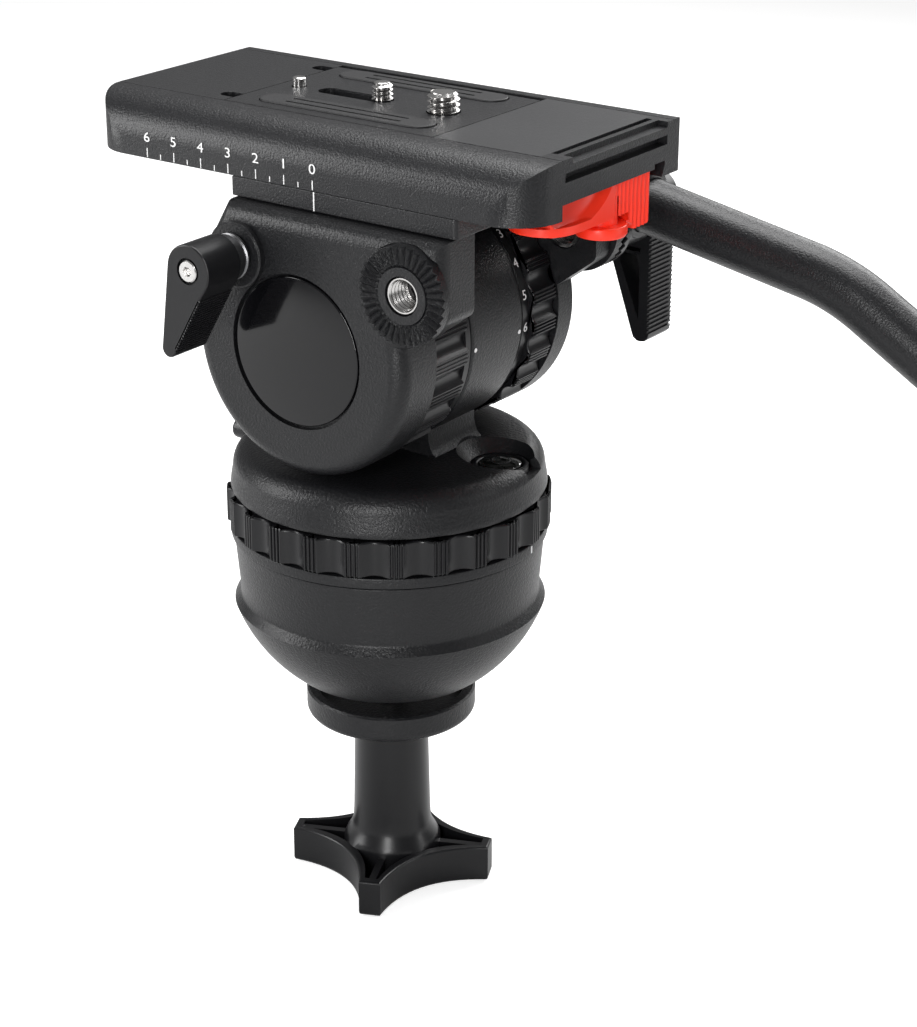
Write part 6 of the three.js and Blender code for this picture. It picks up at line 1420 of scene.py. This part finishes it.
@dataclass
class CameraPlate:
    """The quick-release plate with its strips, pin and camera screws."""

    front: float = -40.8
    rear: float = 32.0
    near: float = -21.7
    far: float = 30.2
    floor: float = 124.3
    top: float = 132.9
    pin: Point2 = (-34.7, 4.1)
    quarter: Point2 = (-4.7, 4.4)
    slot_front: float = -23.7
    three_eighths: Point2 = (17.7, 3.0)

    def build(self) -> None:
        """Builds every piece on the plate."""
        body = Solid.block(self.front, self.rear, self.near, self.far, self.floor, self.top)
        strips = ((-12.62, 25.4, "near"), (24.28, 24.0, "far"))
        cuts = [Solid.prism(strap((-29.4, y), 5.1, (rear - 4.8, y), 5.1), Axis.Z, self.top - 1.3,
                            self.top + OVERRUN) for y, rear, _ in strips]
        slot = ((self.slot_front, self.quarter[1]), self.quarter)
        cuts += [
            Solid.prism(strap(slot[0], 3.35, slot[1], 3.35), Axis.Z, self.floor - OVERRUN,
                        self.top + OVERRUN),
            Solid.prism(strap(slot[0], 6.2, slot[1], 6.2), Axis.Z, self.floor - OVERRUN, 128.2),
            Solid.rod(2.25, self.floor - OVERRUN, self.top + OVERRUN, centre=self.pin, sides=SMALL),
            Solid.rod(4.9, self.floor - OVERRUN, self.top + OVERRUN, centre=self.three_eighths,
                      sides=SMALL),
            Solid.rod(7.8, self.floor - OVERRUN, 128.2, centre=self.three_eighths, sides=SMALL)]
        body.cut(*cuts).eased(0.35, 2).piece("camera_plate_body", ANODISED, "plate", "camera_plate")
        for y, rear, side in strips:
            self.build_strip(y, rear, side)
        self.build_pin()
        self.build_screw("quarter", "quarter_screw", self.quarter, 3.05, 5.3, 5.6, 1.27, 2.2)
        self.build_screw("three_eighths", "three_eighths", self.three_eighths,
                         4.6, 5.8, 7.2, 1.59, 3.8)
        Solid.ring(2.5, 5.2, 127.1, 127.9, centre=self.quarter, sides=SMALL).piece(
            "quarter_washer_ring", MOULDED, "quarter_washer", "quarter_screw_washer")

    def build_strip(self, y: float, rear: float, side: str) -> None:
        """Builds one rubber strip with its two long grooves."""
        strip = Solid.prism(strap((-29.4, y), 4.8, (rear - 4.8, y), 4.8), Axis.Z, self.top - 1,
                            self.top + 0.5, 0, 0.35, 3)
        grooves = [Solid.prism(strap((-24, y + offset), 0.55, (rear - 10, y + offset), 0.549, 8),
                               Axis.Z, self.top + 0.1, self.top + 3) for offset in (-1.9, 1.9)]
        strip.cut(*grooves).piece(f"{side}_rubber_strip", RUBBER, "plate", f"{side}_grip_strip")

    def build_pin(self) -> None:
        """Builds the sprung locating pin with its step."""
        top = self.top + 2.7
        Solid.turned([
            (0, self.top - 4.6), (1.95, self.top - 4.6), (1.95, top - 1.3), (1.75, top - 1.2),
            (1.75, top - 1.0), (1.95, top - 0.9), (1.95, top - 0.4), (1.6, top - 0.05),
            (1.2, top), (0, top)], centre=self.pin, sides=SMALL).piece(
                "locating_pin", STEEL, "video_pin", "video_pin")

    def build_screw(self, name: str, body: str, at: Point2, radius: float, height: float,
                    head: float, pitch: float, neck: float) -> None:
        """Builds one camera screw with a real thread.

        Args:
            name: The start of the screw's name.
            body: The CAD body that it rides on.
            at: Its axis.
            radius: The thread's outer radius.
            height: How far it stands above the plate.
            head: The head's radius.
            pitch: The thread's pitch.
            neck: The radius of the neck inside the plate.
        """
        bottom, shoulder, top = 124.6, 126.8, self.top + height
        sides, root = 36, radius - 0.62 * pitch
        profile = ((0.0, 0.0), (0.12, 0.0), (0.5, 1.0), (0.62, 1.0))
        thread_start = self.top + 0.3
        turns = (top - thread_start) / pitch
        rows: list[tuple[float, float]] = []
        for k in range(int(turns) + 2):
            rows += [(thread_start + (k - 1 + share) * pitch, radius - (radius - root) * drop)
                     for share, drop in profile]
        points: list[Point3] = []
        for i in range(sides):
            angle = TURN * i / sides
            for z, r in rows:
                height_here = min(max(z + pitch * i / sides, thread_start), top)
                chamfer = max(0.0, r - (top - height_here) - (radius - 1.1))
                reach = r - chamfer
                points.append((at[0] + reach * math.cos(angle), at[1] + reach * math.sin(angle),
                               height_here))
        count = len(rows)
        faces: list[list[int]] = []
        for i in range(sides):
            j = (i + 1) % sides
            shift = len(profile) if j == 0 else 0
            for k in range(count - 1 - shift):
                faces.append([i * count + k, j * count + k + shift, j * count + k + shift + 1,
                              i * count + k + 1])
        thread = Solid(points, faces)
        core = Solid.turned([
            (0, bottom), (head, bottom), (head, shoulder - 0.3), (head - 0.3, shoulder),
            (neck, shoulder), (neck, thread_start - 0.2), (root + 0.05, thread_start),
            (root + 0.05, top - 0.25), (root - 0.4, top), (0, top)], centre=at, sides=36)
        slot = Solid.block(at[0] - head - 1, at[0] + head + 1, at[1] - 0.8, at[1] + 0.8, bottom - 1,
                           bottom + 1.1)
        core.cut(slot)
        merged([core, thread]).piece(f"{name}_camera_screw", STEEL, body, f"{name}_screw",
                                     smooth=35)


@dataclass
class ReleaseLever:
    """The red lever under the carriage's rear end, with its button."""

    pivot: Point2 = RELEASE_PIVOT_AT
    rear: float = 72.4
    front: float = 59.5
    near: float = -19.9
    far: float = 25.3
    top: float = 120.5
    body_bottom: float = 110.7
    grip_bottom: float = 105.3
    grip_near: float = 6.8
    flutes: int = 9
    ledge_rise: float = 2.4
    scoop_radius: float = 12.5
    scoop_depth: float = 4.2
    scoop_stretch: float = 1.76
    scoop_at: Point2 = (-16.0, 124.0)
    toe: Point2 = (54.5, -18.9)
    toe_pull: Point2 = (58.25, -22.5)
    bend_start: Point2 = (62.0, -22.5)
    bend_end: float = -9.0
    arch_radius: float = 11.0
    arch_drop: float = 11.3

    def build(self) -> None:
        """Builds the lever and its button."""
        set_back = self.rear - 0.7
        body = Solid.prism(rounded([
            (self.front, self.near, 2), (self.rear, self.near), (self.rear, self.grip_near),
            (set_back, self.grip_near), (set_back, self.far), (self.front, self.far, 2)], 6),
                           Axis.Z, self.body_bottom, self.top)
        ledge = self.body_bottom + self.ledge_rise
        depths = [(self.scoop_radius * k / 12,
                   self.rear - self.scoop_depth * math.sqrt(1 - (k / 12) ** 4)) for k in range(13)]
        scoop = Solid.turned([*depths, (self.scoop_radius, self.rear + 3), (0, self.rear + 3)],
                             Axis.X, sides=FINE)
        scoop.transformed(Matrix.Diagonal((1, self.scoop_stretch, 1, 1))).moved(0, *self.scoop_at)
        scoop.keep(Solid.block(self.front, self.rear + OVERRUN, self.near - 12, 20, ledge, 126))
        blade_near = self.bend_start[1]
        bend = curve(self.bend_start, (self.rear, blade_near), (self.rear, self.bend_end), 16)
        body.keep(Solid.prism([(50, blade_near), *bend, (self.rear, 30), (50, 30)], Axis.Z,
                              100, 126)).cut(scoop)
        pitch = (self.far - self.grip_near) / self.flutes
        plan: list[Point2] = [(self.front + 2, self.grip_near), (set_back, self.grip_near)]
        for i in range(self.flutes):
            y = self.grip_near + i * pitch
            plan += [(self.rear - 0.25, y + pitch * 0.08), (self.rear, y + pitch * 0.2),
                     (self.rear, y + pitch * 0.42), (self.rear - 0.25, y + pitch * 0.55),
                     (set_back, y + pitch * 0.68)]
        plan += [(set_back, self.far), (self.front + 2, self.far)]
        grip = Solid.prism(plan, Axis.Z, self.grip_bottom, self.top)
        side = Solid.prism(rounded([(-30, 100), (self.far, 100, 0), (self.far + 0.01, 100),
                                    (self.far + 0.01, 124), (-30, 124)], 4), Axis.X, 50, 80)
        side.cut(Solid.prism([(self.far + 1, self.grip_bottom - 1),
                              (self.far + 1, self.grip_bottom + 2.4),
                              (self.far, self.grip_bottom + 2.4),
                              (self.far - 0.6, self.grip_bottom + 1),
                              (self.far - 2, self.grip_bottom),
                              (self.far - 2, self.grip_bottom - 1)], Axis.X, 40, 90))
        grip.keep(side)
        toe = curve(self.toe, self.toe_pull, self.bend_start, 12)[:-1]
        blade = Solid.prism([*toe, *bend, (self.front, self.bend_end)], Axis.Z, self.body_bottom,
                            ledge, 0.4, 0.2, 3)
        body.join(grip, blade)
        arch = Solid.rod(self.arch_radius, 50, 80, Axis.X,
                         (self.pivot[1], self.body_bottom - self.arch_drop), FINE)
        body.cut(arch,
                 Solid.rod(7.9, self.grip_bottom - OVERRUN, self.body_bottom, centre=self.pivot),
                 Solid.rod(4.8, self.body_bottom - OVERRUN, self.body_bottom + 5.6,
                           centre=self.pivot, sides=SMALL),
                 Solid.rod(2.3, self.body_bottom, self.top + OVERRUN, centre=self.pivot,
                           sides=SMALL))
        body.eased(0.25, 2, 40).piece("release_lever_moulding", RED, "release",
                                      "plate_release_lever")
        top = self.body_bottom - 2.3
        button = Solid.turned([
            (0, top - 3.4), (6.2, top - 3.4), (6.9, top - 3.2), (7.3, top - 2.6), (7.3, top - 0.5),
            (7.0, top - 0.1), (6.7, top), (4.5, top), (4.5, self.body_bottom + 3.3),
            (0, self.body_bottom + 3.3)], centre=self.pivot, sides=ROUND)
        button.piece("release_button_cap", RED, "button", "release_button")
        Solid.rod(2.0, 116.6, 123.5, centre=self.pivot, sides=SMALL, edge=0.3).piece(
            "release_pivot", STEEL, "carriage", "release_pivot_pin")


# ---------------------------------------------------------------- pan bar


@dataclass
class PanBar:
    """Clamp, bar, grip, cap and wing lever on the far rosette."""

    axis_at: Point2 = ROSETTE_AT
    bar_y: float = 60.8
    bar_radius: float = 8.25
    slope: float = 10.8
    bend: float = 20.0
    bend_radius: float = 62.0
    start_x: float = 44.5
    bend_x: float = 104.0
    run: float = 215.0
    offset: float = 5.8
    clamp_radius: float = 11.4
    clamp_near: float = 49.0
    clamp_far: float = 70.0
    socket_bore: float = 8.55
    screw_bore: float = 4.3
    grip_radius: float = 12.5
    grip_waist: float = 1.2
    grip_length: float = 118.0
    wing_drop: float = 43.6
    wing_ribs: int = 21
    wing_near: float = 72.0
    wing_far: float = 85.3

    def height(self, x: float) -> float:
        """The bar's centre height on its first straight."""
        fall = math.tan(math.radians(self.slope))
        return self.axis_at[1] + self.offset - (x - self.axis_at[0]) * fall

    def direction(self, angle: float) -> Vector:
        """The unit vector that falls at an angle in degrees towards the rear."""
        return Vector((math.cos(math.radians(angle)), 0, -math.sin(math.radians(angle))))

    def path(self) -> list[Vector]:
        """The bar's centre line."""
        points = [Vector((self.start_x, self.bar_y, self.height(self.start_x))),
                  Vector((self.bend_x, self.bar_y, self.height(self.bend_x)))]
        centre = points[1] + self.direction(self.slope + 90) * self.bend_radius
        for k in range(1, 13):
            points.append(centre + self.direction(self.slope - 90 + self.bend * k / 12)
                          * self.bend_radius)
        points.append(points[-1] + self.direction(self.slope + self.bend) * self.run)
        return points

    def along(self, profile: Sequence[Point2], start: Vector, angle: float,
              sides: int = ROUND) -> Solid:
        """A turned piece whose axis falls from a start point at an angle."""
        turned = Solid.turned(profile, Axis.X, (0, 0), sides)
        turned.turned_about(angle, Axis.Y)
        return turned.moved(*start)

    def build(self) -> None:
        """Builds every piece of the bar."""
        path = self.path()
        fine = [path[0], path[0].lerp(path[1], 0.5), *path[1:-1], path[-2].lerp(path[-1], 0.5),
                path[-1]]
        Solid.swept(fine, self.bar_radius, 48).piece("pan_bar_tube", ANODISED, "bar", "pan_bar")
        fall = self.slope + self.bend
        start = path[-1] - self.direction(fall) * self.grip_length
        bore, full = self.socket_bore, self.grip_radius
        profile: list[Point2] = [(bore, 0), (10.6, 0), (11.3, 0.5), (11.6, 1.4), (12.4, 2.6),
                                 (full, 4)]
        for k in range(1, 40):
            share = k / 40
            if share < 0.45:
                waist = full - self.grip_waist * math.sin(math.pi * min(1, share * 2.2)) ** 0.5
            else:
                waist = full - self.grip_waist + (share - 0.45) / 0.55
            groove = 0.35 if k % 2 else 0.0
            profile += [(waist - groove, 4 + 108 * share), (waist - groove, 4 + 108 * share + 1.1)]
        end = self.grip_length
        profile += [(full, end - 3.5), (full - 0.3, end - 1.5), (full - 1.2, end), (bore, end)]
        grip = self.along(profile, start, fall)
        grip.piece("pan_bar_handgrip", RUBBER, "bar", "pan_bar_grip", smooth=30)
        cap = self.along([(0, 0.3), (11.6, 0.3), (12, 0.8), (12, 5.6), (11.6, 7.2),
                          (10.2, 8.4), (8, 8.9), (0, 9)], path[-1], fall)
        cap.piece("pan_bar_end_cap", MOULDED, "bar", "pan_bar_cap", smooth=50)
        self.build_clamp(path)
        self.build_wing()

    def build_clamp(self, path: Sequence[Vector]) -> None:
        """Builds the clamp with its teeth and the bar's socket."""
        teeth = TiltFrame().rosette_disc(self.screw_bore, 49.3, 46.2)
        near, far, radius = self.clamp_near, self.clamp_far, self.clamp_radius
        body = Solid.turned([
            (0, near), (radius - 0.6, near), (radius, near + 0.6), (radius, far - 1.2),
            (radius - 0.6, far - 0.2), (radius - 1.2, far), (0, far)], Axis.Y, self.axis_at, ROUND)
        socket_start = Vector((self.axis_at[0], self.bar_y, self.height(self.axis_at[0])))
        socket = self.along([(0, 0), (10.6, 0), (10.6, 11.6), (10.3, 12.2), (9.8, 12.5), (0, 12.5)],
                            socket_start, self.slope)
        socket.keep(Solid.block(0, 80, near, far, 50, 140))
        bore = self.along([(0, -0.3), (self.socket_bore, -0.3), (self.socket_bore, 25), (0, 25)],
                          path[0], self.slope)
        body.join(socket, teeth)
        body.cut(bore, Solid.rod(self.screw_bore, 45, self.wing_near, Axis.Y, self.axis_at, SMALL))
        body.piece("pan_bar_clamp_body", MOULDED, "bar", "pan_bar_clamp", smooth=30)
        stud = Solid.rod(4.0, 37.5, 78, Axis.Y, self.axis_at, SMALL, 0.5)
        stud.piece("clamp_stud", STEEL, "wing", "clamp_screw")

    def build_wing(self) -> None:
        """Builds the hanging wing lever, hollow towards the head and ribbed behind."""
        x, z = self.axis_at
        rear, front, tip = x + 7, x - 12, x + 0.6
        bottom = z - self.wing_drop
        pitch = (self.wing_drop - 13) / self.wing_ribs
        outline: list[Point2] = [(rear, z)]
        for i in range(self.wing_ribs):
            high = z - 10 - i * pitch
            outline += [(rear, high), (rear, high - pitch * 0.38),
                        (rear - 0.6, high - pitch * 0.56), (rear - 0.6, high - pitch * 0.9)]
        outline += [(rear, bottom + 3), (rear - 0.4, bottom + 1.4), (rear - 1.6, bottom + 0.3),
                    (rear - 3.2, bottom), (tip + 2.2, bottom + 0.1), (tip + 0.8, bottom + 1.0),
                    (tip, bottom + 3), (front, z - 4.2)]
        wing = Solid.prism(outline, Axis.Y, self.wing_near, self.wing_far, 0.3, 0.5, 2)
        hollow = Solid.prism([(front + 6, z - 14), (rear - 3.9, z - 14), (rear - 3.9, bottom + 7)],
                             Axis.Y, 70, 81)
        hollow.cut(Solid.block(x - 12, x + 12, 76, 82, z - 17.6, z - 16.6))
        wing.cut(hollow)
        hub = Solid.turned([
            (0, 70.3), (7.6, 70.3), (8.4, 70.9), (8.4, 84.2), (8.0, 85.0), (7.2, 85.3), (0, 85.3)],
            Axis.Y, self.axis_at, ROUND)
        wing.join(hub)
        wing.cut(Solid.rod(self.screw_bore, 68, 78.3, Axis.Y, self.axis_at, SMALL))
        wing.piece("wing_lever_moulding", MOULDED, "wing", "wing_lever", smooth=30)


# ---------------------------------------------------------------- studio


@dataclass(frozen=True)
class Lamp:
    """A soft box: its place, the point it faces and its size in metres, and its power in watts."""

    name: str
    at: Point3
    aim: Point3
    size: Point2
    power: float

    def build(self) -> None:
        """Adds the lamp to the scene."""
        data = bpy.data.lights.new(self.name, "AREA")
        data.shape = "RECTANGLE"
        data.size, data.size_y = self.size
        data.energy = self.power
        light = bpy.data.objects.new(self.name, data)
        bpy.context.scene.collection.objects.link(light)
        light.location = self.at
        facing = Vector(self.aim) - Vector(self.at)
        light.rotation_euler = facing.to_track_quat("-Z", "Y").to_euler()


@dataclass
class Studio:
    """Camera, lamps, world and floor."""

    camera_at: Point3 = (419.5, -552.0, 297.4)
    yaw: float = 35.527
    pitch: float = 22.63
    roll: float = 0.165
    lens: float = 98.15
    floor_height: float = -113.4
    floor_reach: float = 6000.0
    fill: float = 0.12
    mirrored: float = 0.1
    floor_shade: float = 0.7
    floor_glow: float = 0.66
    lamps: tuple[Lamp, ...] = (
        Lamp("overhead", (-0.1, 0.35, 1.1), (0, 0, 0.06), (0.9, 0.7), 15),
        Lamp("left", (-0.75, -0.6, 0.4), (0, 0, 0.06), (0.4, 0.8), 8),
        Lamp("front", (0.45, -1.0, 0.3), (0, 0, 0), (0.2, 0.7), 8),
        Lamp("right", (1.0, 0.45, 0.3), (0, 0, 0.05), (0.12, 0.8), 2),
        Lamp("behind", (0.1, 1.0, 0.6), (0.1, 0, 0.1), (0.9, 0.5), 8))

    def build(self) -> None:
        """Sets up the studio."""
        self.build_camera()
        for lamp in self.lamps:
            lamp.build()
        self.build_world()
        self.build_floor()
        bpy.context.scene.view_settings.view_transform = "Standard"

    def build_camera(self) -> None:
        """Places the camera where the photograph's was."""
        data = bpy.data.cameras.new("camera")
        data.lens = self.lens
        data.sensor_fit = "HORIZONTAL"
        data.sensor_width = 36
        data.clip_end = 20
        camera = bpy.data.objects.new("camera", data)
        bpy.context.scene.collection.objects.link(camera)
        yaw, pitch, roll = (math.radians(a) for a in (self.yaw, self.pitch, self.roll))
        ahead = Vector((-math.sin(yaw) * math.cos(pitch), math.cos(yaw) * math.cos(pitch),
                        -math.sin(pitch)))
        right = Vector((math.cos(yaw), math.sin(yaw), 0))
        up = right.cross(ahead)
        side = right * math.cos(roll) + up * math.sin(roll)
        head = up * math.cos(roll) - right * math.sin(roll)
        matrix = Matrix((side, head, -ahead)).transposed().to_4x4()
        matrix.translation = Vector(self.camera_at) * MM
        camera.matrix_world = matrix
        bpy.context.scene.camera = camera

    def build_world(self) -> None:
        """A plain world that is white to the camera and behind glass, and dimmer as light."""
        world = bpy.data.worlds.new("studio")
        bpy.context.scene.world = world
        world.use_nodes = True
        sheet = NodeSheet(world.node_tree)
        seen = sheet.node("ShaderNodeLightPath", output="Is Camera Ray")
        glossy = sheet.node("ShaderNodeLightPath", output="Is Glossy Ray")
        clear = sheet.node("ShaderNodeLightPath", output="Is Transmission Ray")
        rest = 1 - self.fill
        level = seen * rest + clear * rest + glossy * self.mirrored + self.fill
        back = sheet.node("ShaderNodeBackground", {}, {"Color": (1, 1, 1, 1), "Strength": level})
        sheet.node("ShaderNodeOutputWorld", {}, {"Surface": back})

    def build_floor(self) -> None:
        """A wide pale floor that fades into the world's white and keeps the head's shadow."""
        mesh = bpy.data.meshes.new("floor")
        reach = self.floor_reach * MM
        height = self.floor_height * MM
        mesh.from_pydata([(-reach, -reach, height), (reach, -reach, height), (reach, reach, height),
                          (-reach, reach, height)], [], [(0, 1, 2, 3)])
        floor = bpy.data.objects.new("floor", mesh)
        bpy.context.scene.collection.objects.link(floor)
        material = bpy.data.materials.new("pale_floor")
        material.use_nodes = True
        sheet = NodeSheet(material.node_tree)
        seen = sheet.node("ShaderNodeLightPath", output="Is Camera Ray")
        diffuse = sheet.node("ShaderNodeBsdfDiffuse", {}, {"Color": (*[self.floor_shade] * 3, 1)})
        glow = sheet.node("ShaderNodeEmission", {},
                          {"Color": (1, 1, 1, 1), "Strength": seen * self.floor_glow})
        both = sheet.node("ShaderNodeAddShader", {}, {0: diffuse, 1: glow})
        sheet.node("ShaderNodeOutputMaterial", {}, {"Surface": both})
        mesh.materials.append(material)


def main() -> None:
    """Builds the head and the studio."""
    logging.basicConfig(level=logging.INFO, format="%(message)s")
    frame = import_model()
    Studio().build()
    LevellingBase().build(frame)
    TieDown().build(frame)
    PanHousing().build()
    TiltDrum().build(frame)
    TiltFrame().build(frame)
    TiltBrake().build()
    Platform().build()
    Carriage().build()
    CameraPlate().build()
    ReleaseLever().build()
    PanBar().build()


if __name__ == "__main__":
    main()
